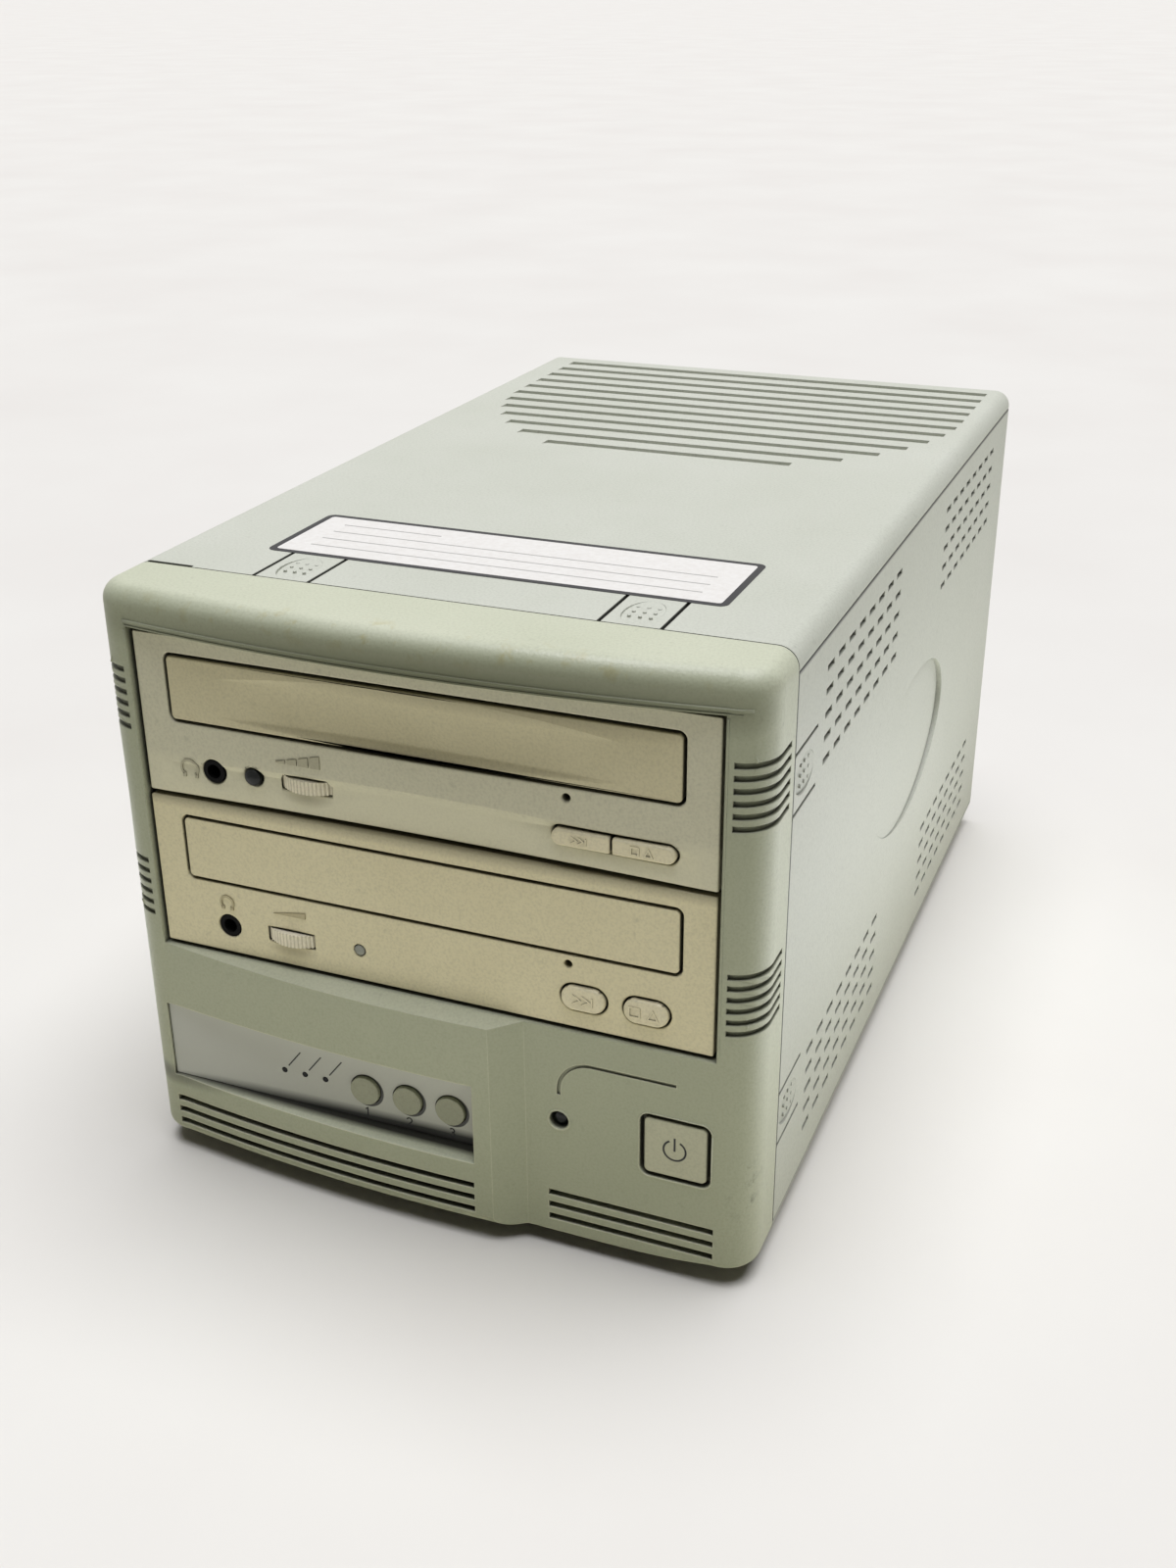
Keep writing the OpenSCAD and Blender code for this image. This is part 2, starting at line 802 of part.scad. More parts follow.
module side_panel(side) {
    oval_y = 150;
    oval_z = 18;
    inside = half_w - shell_t;
    color(case_green) {
        difference() {
            along_x(side > 0 ? inside : -half_w, side > 0 ? half_w : -inside) difference() {
                translate([cover_front, base_top + seam_gap])
                    square([case_rear - cover_front, side_seam - base_top - 2 * seam_gap]);
                translate([face_y, bay_z]) slot_grids();
            }
            at_side_tongues(side) translate([0, 0, -shell_t - past])
                linear_extrude(shell_t + 2 * past) tongue_slits();
            at_side_tongues(side) tongue_dish();
            translate([side * half_w, face_y + oval_y, bay_z + oval_z]) rotate([90, 0, 90])
                mirror([0, 0, side < 0 ? 1 : 0]) dished_oval(oval_long, oval_short, oval_depth, 96);
        }
        at_side_tongues(side) translate([9.5, 0, 0]) grip_dots(-0.1);
    }
}

module left_side_panel() {
    side_panel(-1);
}

module right_side_panel() {
    side_panel(1);
}

module at_controller_screws() {
    for (side = SIDES, y = [controller_front + controller_inset, controller_rear - controller_inset])
        translate([side * (controller_x - controller_inset), y, controller_z]) children();
}

module at_cage_screws() {
    for (side = SIDES, y = cage_screw_y)
        translate([side * (cage_half - cage_flange / 2), face_y + y, base_top]) children();
}

module at_rear_screws() {
    for (x = [-60, 10, 70]) translate([x, panel_front - rear_flange / 2, base_top]) children();
}

module base_tray() {
    color(case_green) difference() {
        union() {
            intersection() {
                along_y(cover_front, case_rear) case_section(foot_h, case_top);
                block([-half_w - past, cover_front - past, 0], [half_w + past, case_rear + past, base_top]);
            }
            at_controller_screws() translate([0, 0, -post_h - past]) cylinder(r = boss_r, h = post_h + past);
        }
        at_controller_screws() translate([0, 0, -screw_l]) cylinder(r = pilot_r, h = screw_l + past);
        at_cage_screws() translate([0, 0, -base_t - past]) cylinder(r = pilot_r, h = base_t + 2 * past);
        at_rear_screws() translate([0, 0, -base_t - past]) cylinder(r = pilot_r, h = base_t + 2 * past);
    }
}

module rubber_feet() {
    color(black_plastic) for (side = SIDES, y = [-case_rear + foot_inset + bezel_d, case_rear - foot_inset])
        translate([side * (half_w - foot_inset), y, 0]) {
            cylinder(r1 = foot_r - 1, r2 = foot_r, h = 1);
            translate([0, 0, 1]) cylinder(r = foot_r, h = foot_h - 1);
        }
}

module at_fan_screws() {
    half = fan_screw_pitch / 2;
    for (x = SIDES, z = SIDES) translate([x * half, 0, fan_z + z * half]) children();
}

module at_inlet_screws() {
    for (side = SIDES) translate([inlet_x + side * inlet_screw_x, 0, inlet_z]) children();
}

module rear_panel() {
    rows = [-34, -24, -14];
    color(steel_grey) difference() {
        union() {
            block([-rear_half, panel_front, base_top], [rear_half, panel_rear, case_top - shell_t - 0.3]);
            block([-rear_half, panel_front - rear_flange, base_top],
                [rear_half, panel_front, base_top + sheet_t]);
        }
        translate([0, 0, fan_z]) rod_y(fan_bore_r, panel_front - past, panel_rear + past);
        at_fan_screws() rod_y(pass_r, panel_front - past, panel_rear + past);
        at_inlet_screws() rod_y(pass_r, panel_front - past, panel_rear + past);
        translate([inlet_x, 0, inlet_z]) along_y(panel_front - past, panel_rear + past)
            square([inlet_body[0] + 0.6, inlet_body[2] + 0.6], center = true);
        at_rear_screws() translate([0, 0, -past]) cylinder(r = pass_r, h = sheet_t + 2 * past);
        for (x = rows, i = [0 : 4]) block([x - 32, panel_front - past, base_top + 16 + i * 7],
            [x - 26, panel_rear + past, base_top + 18 + i * 7]);
    }
}

module drive_cage() {
    color(steel_grey) difference() {
        union() {
            for (side = [0, 1]) face_frame() mirror([side, 0, 0]) {
                block([cage_half, cage_front, cage_low], [cage_half + sheet_t, cage_rear, cage_high]);
                block([cage_half - cage_flange, cage_front, cage_low],
                    [cage_half + sheet_t, cage_rear, cage_low + sheet_t]);
                for (z = ear_heights) block([cage_half, cage_front, z - ear_half],
                    [ear_x + boss_r, cage_front + sheet_t, z + ear_half]);
            }
            face_frame() {
                block([-cage_half, cage_front, -0.2 - sheet_t], [cage_half, cage_rear - 40, -0.2]);
                block([-cage_half, strap_y, cage_high - sheet_t], [cage_half, strap_y + strap_d, cage_high]);
            }
        }
        at_drive_screws() rod_x_dir(pass_r, -past, sheet_t + past);
        face_frame() at_bezel_ears() rod_y(pass_r, cage_front - past, cage_front + sheet_t + past);
        at_cage_screws() translate([0, 0, -past]) cylinder(r = pass_r, h = sheet_t + 2 * past);
    }
}

// Screw places on both sides of both drives, turned so that x points away from the drive
module at_drive_screws() {
    for (bay = BAYS, side = [0, 1], y = drive_screw_y)
        drive_frame(bay) mirror([side, 0, 0]) translate([cage_half, y, drive_screw_z]) children();
}

module drive_screws() {
    color(steel_grey) at_drive_screws() translate([sheet_t, 0, 0]) rotate([0, 90, 0]) screw();
}

module case_screws() {
    color(steel_grey) {
        face_frame() at_bezel_ears() translate([0, cage_front + sheet_t, 0]) rotate([-90, 0, 0]) screw();
        face_frame() at_panel_screws() translate([0, panel_board_y + board_t, 0]) rotate([-90, 0, 0]) screw();
        at_controller_screws() translate([0, 0, board_t]) screw();
        at_cage_screws() translate([0, 0, sheet_t]) screw();
        at_rear_screws() translate([0, 0, sheet_t]) screw();
        at_fan_screws() translate([0, panel_rear + lug_t, 0]) rotate([-90, 0, 0]) screw();
        at_inlet_screws() translate([0, panel_rear + inlet_flange_t, 0]) rotate([-90, 0, 0]) screw();
    }
}

module control_overlay() {
    color("#8A8A86") face_frame() difference() {
        block([window_left + 0.2, overlay_y, 0.2 - window_drop - window_h],
            [window_right - 0.2, seat_y, -window_drop - 0.2]);
        at_keys() rod_y(key_d / 2 + key_gap, overlay_y - past, seat_y + past);
        at_status_leds() rod_y(status_d / 2 + 0.1, overlay_y - past, seat_y + past);
    }
}

module copy_key(i) {
    flange_y = pan_rear + key_gap;
    color("#8E9178") face_frame() translate([key_x + i * key_pitch, 0, -key_drop]) {
        rod_y(key_d / 2, overlay_y - key_proud, flange_y + key_flange);
        rod_y(key_d / 2 + 1, flange_y, flange_y + key_flange);
        rod_y(key_stem_r, flange_y, key_stem_end);
    }
}

module mode_button() {
    copy_key(0);
}

module speed_button() {
    copy_key(1);
}

module run_button() {
    copy_key(2);
}

module status_leds() {
    color("#3A4038") face_frame() at_status_leds() rod_y(status_d / 2, overlay_y, panel_board_y);
}

module panel_board() {
    color(board_green) face_frame() difference() {
        union() {
            block([panel_board_left, panel_board_y, panel_board_low],
                [panel_board_right, panel_board_y + board_t, panel_board_high]);
            at_keys() block([-switch_half, panel_board_y - switch_t, -switch_half],
                [switch_half, panel_board_y + past, switch_half]);
        }
        at_panel_screws() rod_y(pass_r, panel_board_y - past, panel_board_y + board_t + past);
    }
}

module power_button() {
    cap = power_size - 2 * power_gap;
    flange = power_size + 2 * power_flange_edge;
    flange_y = wall_y + key_gap;
    color("#A8A08C") face_frame() translate([power_x, 0, -power_drop]) {
        along_y(-pillar_proud - 0.1, flange_y + power_flange)
            round_square(cap, cap, power_corner - power_gap);
        along_y(flange_y, flange_y + power_flange) round_square(flange, flange, power_corner);
        rod_y(power_stem_r, flange_y, power_stem_end);
    }
}

module power_switch() {
    half = switch_edge / 2;
    color(black_plastic) face_frame() translate([power_x, switch_y, -power_drop]) {
        block([-half, 0, -half], [half, switch_edge, half]);
        for (x = [-4, 0, 4]) block([x - 0.4, switch_edge - past, -2], [x + 0.4, switch_edge + 5, 2]);
    }
}

module power_led() {
    lens = lamp_d / 2 - 0.2;
    color("#2C302B") face_frame() translate([lamp_x, 0, -lamp_drop]) {
        rod_y(lens, lamp_depth - pillar_proud, wall_y + 6);
        rod_y(lens + 0.9, wall_y, wall_y + 1);
    }
}

module power_supply() {
    supply_front = supply_rear - supply_d;
    low = [supply_left, supply_front, base_top];
    high = [supply_left + supply_w, supply_rear, base_top + supply_h];
    wall = [sheet_t, sheet_t, sheet_t];
    color(steel_grey) difference() {
        block(low, high);
        block(low + wall, high - wall);
        for (i = [0 : 9]) translate([supply_left + 14 + i * (supply_w - 28) / 9, 0, base_top])
            block([-1.5, supply_front - past, 10], [1.5, supply_front + sheet_t + past, supply_h - 10]);
        for (i = [0 : 7]) translate([0, supply_front + 20 + i * (supply_d - 40) / 7, base_top])
            block([supply_left + supply_w - sheet_t - past, -1.5, 10],
                [supply_left + supply_w + past, 1.5, supply_h - 10]);
    }
}

module power_inlet() {
    body_y = inlet_body[1];
    flange_y = panel_rear + inlet_flange_t;
    pocket_y = flange_y - inlet_pocket_d;
    contacts = [[-7, -2], [7, -2], [0, 2]];
    color(black_plastic) translate([inlet_x, 0, inlet_z]) {
        difference() {
            union() {
                along_y(panel_rear - body_y, panel_rear + 0.5)
                    square([inlet_body[0], inlet_body[2]], center = true);
                along_y(panel_rear, flange_y) round_square(inlet_flange[0], inlet_flange[1], 4);
            }
            along_y(pocket_y, flange_y + past) round_square(inlet_pocket[0], inlet_pocket[1], 2);
            for (side = SIDES) translate([side * inlet_screw_x, 0, 0])
                rod_y(pass_r, panel_rear - past, flange_y + past);
        }
        for (place = contacts) translate([place[0], 0, place[1]])
            block([-1, pocket_y - past, -2.5], [1, pocket_y + blade_l, 2.5]);
    }
}

module fan_frame() {
    half = fan_size / 2;
    bush_end = fan_front + fan_base_t + fan_bush_h;
    color(black_plastic) difference() {
        union() {
            difference() {
                translate([0, 0, fan_z]) block([-half, fan_front, -half], [half, panel_front, half]);
                translate([0, 0, fan_z]) rod_y(fan_bore_r, fan_front - past, panel_front + past);
            }
            translate([0, 0, fan_z]) {
                rod_y(fan_base_r, fan_front, fan_front + fan_base_t);
                rod_y(fan_bush_r, fan_front, bush_end);
                for (angle = [90, 210, 330]) rotate([0, angle, 0])
                    block([fan_base_r - past, fan_front, -2], [fan_bore_r + past, fan_front + fan_base_t, 2]);
            }
        }
        translate([0, 0, fan_z]) rod_y(shaft_r + shaft_gap, fan_front + past, bush_end + past);
        at_fan_screws() rod_y(pilot_r, fan_front - past, panel_front + past);
    }
}

module fan_rotor() {
    hub_front = fan_front + fan_base_t + fan_bush_h + 1;
    hub_rear = panel_front - 2.5;
    blade_low = fan_hub_r - 2;
    blade_high = fan_bore_r - 1;
    color(black_plastic) translate([0, 0, fan_z]) {
        rod_y(fan_hub_r, hub_front, hub_rear);
        rod_y(shaft_r, fan_front + fan_base_t, hub_front + past);
        for (i = [0 : blade_count - 1]) translate([0, (hub_front + hub_rear) / 2, 0])
            rotate([0, i * 360 / blade_count, 0]) rotate([40, 0, 0])
                block([blade_low, -5, -0.6], [blade_high, 5, 0.6]);
    }
}

module fan_guard() {
    rings = [8, 15, 22, 29];
    lug_r = head_r + 1.2;
    reach = fan_screw_pitch / sqrt(2) - head_r - 0.3;
    color("#C9CBCC") {
        translate([0, guard_y, fan_z]) {
            for (r = rings) rotate([90, 0, 0]) rotate_extrude() translate([r, 0]) circle(wire_r);
            for (angle = [45, 135]) rotate([0, angle, 0]) rod_x_dir(0.8 * wire_r, -reach, reach);
        }
        difference() {
            at_fan_screws() rod_y(lug_r, panel_rear, panel_rear + lug_t);
            at_fan_screws() rod_y(pass_r, panel_rear - past, panel_rear + lug_t + past);
        }
    }
}

module controller_board() {
    top = controller_z + board_t;
    chips = [[-36, 24, 28], [10, 22, 24], [42, 50, 16]];
    color(board_green) difference() {
        union() {
            block([-controller_x, controller_front, controller_z], [controller_x, controller_rear, top]);
            for (chip = chips) translate([chip[0], controller_front + chip[1], top - past])
                linear_extrude(past + 2.4) square(chip[2], center = true);
            for (y = header_rear)
                block([bus_x[0], y - header_depth, top - past], [bus_x[1], y, top + header_h]);
        }
        at_controller_screws() translate([0, 0, -past]) cylinder(r = pass_r, h = board_t + 2 * past);
    }
}

// Flat cable from a header on the controller, over the supply and up to one drive's rear plug
module data_ribbon(bay) {
    low = controller_z + board_t + header_h;
    over = base_top + supply_h + ribbon_rise[bay];
    start = header_rear[bay] - header_depth / 2 - ribbon_t / 2;
    plug_y = face_y + case_rear_y + plug_out;
    back = plug_y + ribbon_back[bay];
    plug_z = bay_z + bay * drive_pitch + pcb_top + bus_h / 2;
    block([bus_x[0], start, low], [bus_x[1], start + ribbon_t, over + ribbon_t]);
    block([bus_x[0], start, over], [bus_x[1], back + ribbon_t, over + ribbon_t]);
    block([bus_x[0], back, over], [bus_x[1], back + ribbon_t, plug_z + ribbon_t / 2]);
    block([bus_x[0], plug_y, plug_z - ribbon_t / 2], [bus_x[1], back + ribbon_t, plug_z + ribbon_t / 2]);
    block([bus_x[0], plug_y, plug_z - plug_h / 2], [bus_x[1], plug_y + plug_d, plug_z + plug_h / 2]);
}

module data_ribbons() {
    color("#A9A7A0") for (bay = BAYS) data_ribbon(bay);
}

module drive_case(bay) {
    half = drive_case_w / 2;
    color(steel_grey) drive_frame(bay) difference() {
        union() {
            difference() {
                block([-half, drive_face_t, case_low], [half, case_rear_y, cover_low]);
                block([sheet_t - half, drive_face_t - past, drive_floor],
                    [half - sheet_t, case_rear_y - sheet_t, cover_low + past]);
            }
            for (side = SIDES, y = standoff_y) translate([side * standoff_x, y, drive_floor - sheet_t / 2])
                cylinder(r = boss_r, h = pcb_z - drive_floor + sheet_t / 2);
        }
        block([bus_x[0] - 3, case_rear_y - sheet_t - past, pcb_z],
            [supply_plug_x[1] + 3, case_rear_y + past, pcb_top + bus_h + 3]);
        for (side = SIDES, y = drive_screw_y) translate([side * half, y, drive_screw_z])
            rod_x_dir(pilot_r, -sheet_t - past, sheet_t + past);
    }
}

module drive_cover(bay) {
    half = drive_case_w / 2;
    color(steel_grey) drive_frame(bay)
        block([-half, drive_face_t, cover_low], [half, case_rear_y, cover_low + sheet_t]);
}

// Shallow scoop across a drive face: a wide disc that sinks in at the middle and runs out at its ends
module scoop(half, low, high, low_slope, high_slope) {
    r = sag_r(half, scoop_depth);
    over = 0.5;
    shallow = r - (1 + over) * scoop_depth;
    mirror([0, 1, 0]) wide_disc(r, scoop_depth, half + 20) polygon([
        [r - 10, low - over * low_slope],
        [shallow, low - over * low_slope],
        [r, low + low_slope],
        [r, high - high_slope],
        [shallow, high + over * high_slope],
        [r - 10, high + over * high_slope],
    ]);
}

module pill_outline(inset) {
    r = pill_h / 2 - inset;
    translate([pill_left + pill_h / 2, pill_z - r]) square([pill_w - pill_h, 2 * r]);
    for (x = [pill_left + pill_h / 2, pill_left + pill_w - pill_h / 2]) translate([x, pill_z]) circle(r);
}

module oval_outline(i, inset) {
    r = oval_button_h / 2 - inset;
    straight = oval_button_w - oval_button_h;
    translate(oval_buttons[i]) {
        square([straight, 2 * r], center = true);
        for (side = SIDES) translate([side * straight / 2, 0]) circle(r);
    }
}

module drive_bezel(bay) {
    color(bay == UPPER ? drive_grey : drive_beige) drive_frame(bay) difference() {
        block([-drive_w / 2, 0, 0], [drive_w / 2, drive_face_t, drive_face_h]);
        translate([0, 0, door_sill + door_slot_h / 2]) along_y(-past, drive_face_t + past)
            round_square(slot_w, door_slot_h, door_corner);
        translate([jack_x, 0, jack_z]) rod_y(jack_r + jack_gap, -past, drive_face_t + past);
        translate([lens_x[bay], 0, lens_z[bay]])
            rod_y(lens_radius[bay] + lens_gap, -past, drive_face_t + past);
        translate([pinhole[0], 0, pinhole[1]]) rod_y(pinhole_r, -past, drive_face_t + past);
        translate([wheel_x[bay], wheel_y[bay], wheel_z - wheel_t / 2 - wheel_gap])
            cylinder(r = wheel_r + wheel_gap, h = wheel_t + 2 * wheel_gap);
        along_y(-past, drive_face_t + past) {
            if (bay == UPPER) pill_outline(0);
            else for (i = [0, 1]) oval_outline(i, 0);
        }
        if (bay == UPPER) scoop(drive_w / 2 - 4, -2 * band_slope, band_top, band_slope, band_slope);
    }
}

// Moulded frame inside the drive: rails for the tray, gear plate, deck beams and clamp bridge
module loader_frame(bay) {
    rail_low = tray_z - run_gap - rail_h;
    rail_high = tray_top + run_gap;
    bridge_top = bridge_z + bridge_t;
    color("#3B3D40") drive_frame(bay) difference() {
        union() {
            for (side = [0, 1]) mirror([side, 0, 0]) {
                block([rail_x, frame_front, drive_floor], [rail_x + rail_t, frame_rear, rail_high + rail_h]);
                block([rail_x, frame_front, drive_floor], [frame_edge, frame_rear, drive_floor + frame_foot]);
                for (z = [rail_low, rail_high]) block([rail_x - rail_lap, frame_front, z],
                    [rail_x + rail_t, frame_rear, z + rail_h]);
                block([rail_x, disc_y - bridge_half, rail_high],
                    [rail_x + rail_t, disc_y + bridge_half, bridge_top]);
            }
            block([-rail_x, disc_y - bridge_half - 8, bridge_z],
                [rail_x, disc_y + bridge_half + 8, bridge_top]);
            block([-rail_x, frame_front, gear_plate_z],
                [rail_x, frame_front + 28, gear_plate_z + gear_plate_h]);
            for (y = [deck_front - beam_d / 2, deck_rear - beam_d / 2])
                block([-rail_x, y, deck_z - beam_h], [rail_x, y + beam_d, deck_z]);
            translate([gear_x, gear_y, gear_plate_z + past])
                cylinder(r = gear_post_r, h = gear_z + gear_h - gear_plate_z - past);
        }
        translate([0, disc_y, bridge_z - past]) cylinder(r = clamp_hole_r, h = bridge_t + 2 * past);
    }
}

// Toothed edge of the tray's rack, teeth to the left of the pitch line
module rack_outline() {
    pitch = PI * gear_module;
    lean = tan(tooth_angle);
    half = pitch / 4 - tooth_slack / 2;
    first = ceil((10 - gear_y) / pitch);
    last = floor((tray_rear - 4 - gear_y) / pitch);
    translate([rack_pitch_x + tooth_deep, 8]) square([rack_back, tray_rear - 10]);
    for (i = [first : last]) translate([rack_pitch_x, gear_y + (i + 0.5) * pitch]) polygon([
        [-tooth_high, tooth_high * lean - half],
        [-tooth_high, half - tooth_high * lean],
        [tooth_deep + 0.1, half + (tooth_deep + 0.1) * lean],
        [tooth_deep + 0.1, -half - (tooth_deep + 0.1) * lean],
    ]);
}

module tray(bay) {
    half = tray_w / 2;
    color("#2B2C2E") drive_frame(bay) {
        difference() {
            block([-half, door_t, tray_z], [half, tray_rear, tray_top]);
            translate([0, disc_y, tray_top - 3]) cylinder(r = disc_r, h = 3 + past);
            translate([0, disc_y, tray_top - 4.2]) cylinder(r = 40.5, h = 4.2 + past);
            translate([0, disc_y, tray_z - past]) cylinder(r = 19, h = tray_t + 2 * past);
            block([-19, disc_y, tray_z - past], [19, disc_y + 66, tray_top + past]);
        }
        translate([0, 0, rack_low]) linear_extrude(tray_z - rack_low + 0.5) rack_outline();
    }
}

module tray_door(bay) {
    w = slot_w - 2 * door_gap;
    h = door_slot_h - 2 * door_gap;
    low = door_sill + door_gap;
    color(bay == UPPER ? "#A39B7C" : drive_beige) drive_frame(bay) difference() {
        translate([0, 0, low + h / 2]) along_y(0, door_t) round_square(w, h, door_corner - door_gap);
        if (bay == UPPER) scoop(52, low + 0.3, low + h - 0.3, 2.2, 4);
    }
}

// Half angle of a gear tooth at a radius, from its involute flank
function involute(angle) = tan(angle) - angle * PI / 180;
function tooth_half(r, base) = (PI / 2 - tooth_slack / gear_module) / gear_teeth * 90 / PI * 2
    + (involute(tooth_angle) - involute(r > base ? acos(base / r) : 0)) * 180 / PI;

module gear_outline() {
    base = gear_r * cos(tooth_angle);
    root = gear_r - tooth_deep;
    tip = gear_r + tooth_high;
    radii = [root, base + 0.01, (base + gear_r) / 2, gear_r, (gear_r + tip) / 2, tip];
    steps = len(radii) - 1;
    polygon([for (i = [0 : gear_teeth - 1], j = [0 : 2 * steps + 1])
        let (
            k = j <= steps ? j : 2 * steps + 1 - j,
            side = j <= steps ? -1 : 1,
            angle = i * 360 / gear_teeth + side * tooth_half(radii[k], base)
        )
        radii[k] * [cos(angle), sin(angle)]
    ]);
}

module loading_gear(bay) {
    color("#D9D6C8") drive_frame(bay) translate([gear_x, gear_y, gear_z])
        linear_extrude(gear_h) difference() {
            gear_outline();
            circle(gear_post_r + shaft_gap);
            for (angle = [0 : 120 : 240]) rotate(angle) translate([4.4, 0]) circle(1);
        }
}

module at_rods() {
    for (side = SIDES) translate([side * rod_x, 0, rod_z]) children();
}

module traverse_deck(bay) {
    color(steel_grey) drive_frame(bay) difference() {
        union() {
            block([-deck_half, deck_front, deck_z], [deck_half, deck_rear, deck_z + deck_t]);
            translate([0, disc_y, motor_low]) cylinder(r = motor_r, h = deck_z - motor_low + past);
            for (side = SIDES, y = [tab_front, tab_rear]) translate([side * rod_x, y, deck_z])
                block([-4, 0, 0], [4, tab_t, rod_z - deck_z + 2.5]);
        }
        translate([0, disc_y, motor_low + past]) cylinder(r = shaft_r + shaft_gap, h = deck_z + deck_t);
        at_rods() rod_y(shaft_r, tab_front - past, tab_rear + tab_t + past);
    }
}

module spindle(bay) {
    color("#4A4C50") drive_frame(bay) translate([0, disc_y, 0]) {
        translate([0, 0, motor_low + 2]) cylinder(r = shaft_r, h = turntable_z - motor_low - 1);
        translate([0, 0, turntable_z]) cylinder(r = turntable_r, h = 2);
        translate([0, 0, turntable_z + 1]) cylinder(r = hub_r, h = spindle_top - turntable_z - 1);
    }
}

module pickup_sled(bay) {
    color("#2B2C2E") drive_frame(bay) {
        difference() {
            block([-sled_half, sled_front, sled_low], [sled_half, sled_front + sled_l, sled_high]);
            at_rods() rod_y(shaft_r + shaft_gap, sled_front - past, sled_front + sled_l + past);
        }
        translate([0, sled_front + 5, sled_high - past]) cylinder(r = lens_r, h = lens_h + past);
    }
}

module guide_rods() {
    color("#D2D4D6") for (bay = BAYS) drive_frame(bay) at_rods() rod_y(shaft_r, tab_front, tab_rear + tab_t);
}

module disc_clamps() {
    top = bridge_z + bridge_t;
    color("#D9D6C8") for (bay = BAYS) drive_frame(bay) translate([0, disc_y, 0]) {
        translate([0, 0, tray_top + 1.6]) cylinder(r = clamp_r, h = top - tray_top - 1.6);
        translate([0, 0, top]) cylinder(r = clamp_flange_r, h = 1.2);
    }
}

module skip_outline(bay, inset) {
    if (bay == UPPER) intersection() {
        pill_outline(inset);
        square([pill_split - 0.2, drive_face_h]);
    }
    else oval_outline(0, inset);
}

module eject_outline(bay, inset) {
    if (bay == UPPER) difference() {
        pill_outline(inset);
        square([pill_split + 0.2, drive_face_h]);
    }
    else oval_outline(1, inset);
}

function button_x(bay, i) = bay == LOWER ? oval_buttons[i][0]
    : pill_split + (i == 0 ? pill_left - pill_split : pill_left + pill_w - pill_split) / 2;
function button_z(bay) = bay == LOWER ? oval_buttons[0][1] : pill_z;
function button_h(bay) = bay == LOWER ? oval_button_h : pill_h;

// Retaining flange behind the drive face and the stem that reaches the switch
module button_back(bay, i) {
    flange_y = drive_face_t + 0.3;
    high = button_h(bay) / 2 + 0.8;
    translate([button_x(bay, i), 0, button_z(bay)]) {
        block([-4, flange_y, -high], [4, flange_y + button_flange, high]);
        block([-2, flange_y, -2], [2, button_stem_end, 2]);
    }
}

module skip_button(bay) {
    color(button_beige) drive_frame(bay) {
        along_y(-button_proud, drive_face_t + 0.3 + button_flange) skip_outline(bay, button_gap);
        button_back(bay, 0);
    }
}

module eject_button(bay) {
    color(button_beige) drive_frame(bay) {
        along_y(-button_proud, drive_face_t + 0.3 + button_flange) eject_outline(bay, button_gap);
        button_back(bay, 1);
    }
}

module volume_wheel(bay) {
    points = [for (i = [0 : 2 * knurls - 1])
        (wheel_r - (i % 2) * knurl_depth) * [cos(i * 180 / knurls), sin(i * 180 / knurls)]];
    color("#DAD3BD") drive_frame(bay) translate([wheel_x[bay], wheel_y[bay], wheel_z - wheel_t / 2])
        linear_extrude(wheel_t) difference() {
            polygon(points);
            circle(shaft_r + shaft_gap);
        }
}

module headphone_jack(bay) {
    color(black_plastic) drive_frame(bay) translate([jack_x, 0, 0]) difference() {
        union() {
            translate([0, 0, jack_z]) rod_y(jack_r, 0.3, drive_face_t + 3);
            block([-4.5, drive_face_t + 2, pcb_top], [4.5, drive_face_t + 14, jack_z + 3.8]);
        }
        translate([0, 0, jack_z]) rod_y(jack_bore / 2, -past, drive_face_t + 12);
    }
}

module drive_lamp(bay) {
    r = lens_radius[bay];
    color("#2C302B") drive_frame(bay) translate([lens_x[bay], 0, 0]) {
        translate([0, 0, lens_z[bay]]) rod_y(r, 0.2, drive_face_t + 4);
        block([-r, drive_face_t + 3.9, pcb_top], [r, drive_face_t + 6, lens_z[bay] + 1]);
    }
}

module drive_board(bay) {
    color(board_green) drive_frame(bay) {
        block([-pcb_half, pcb_front, pcb_z], [pcb_half, pcb_rear, pcb_top]);
        block([bus_x[0], pcb_rear - 3, pcb_z], [bus_x[1], case_rear_y + plug_out, pcb_top + bus_h]);
        block([supply_plug_x[0], pcb_rear - 3, pcb_z],
            [supply_plug_x[1], case_rear_y + plug_out, pcb_top + bus_h]);
        for (chip = drive_chips) translate([chip[0], chip[1], pcb_z])
            block([0, 0, 0], [chip[2], chip[2], pcb_top - pcb_z + drive_chip_h]);
        translate([wheel_x[bay], wheel_y[bay], pcb_z]) {
            block([-5, 0, 0], [5, 6, board_t + 1.5]);
            cylinder(r = 3, h = wheel_z - wheel_t / 2 - 0.2 - pcb_z);
            cylinder(r = shaft_r, h = wheel_z + wheel_t / 2 - pcb_z);
        }
        for (i = [0, 1]) translate([button_x(bay, i), button_switch_y, pcb_z])
            block([-3, 0, 0], [3, 3.5, button_z(bay) + 2 - pcb_z]);
    }
}

module lower_drive_case() {
    drive_case(LOWER);
}

module lower_drive_cover() {
    drive_cover(LOWER);
}

module lower_drive_bezel() {
    drive_bezel(LOWER);
}

module lower_loader_frame() {
    loader_frame(LOWER);
}

module lower_tray() {
    tray(LOWER);
}

module lower_tray_door() {
    tray_door(LOWER);
}

module lower_loading_gear() {
    loading_gear(LOWER);
}

module lower_spindle() {
    spindle(LOWER);
}

module lower_pickup_sled() {
    pickup_sled(LOWER);
}

module lower_traverse_deck() {
    traverse_deck(LOWER);
}

module lower_skip_button() {
    skip_button(LOWER);
}

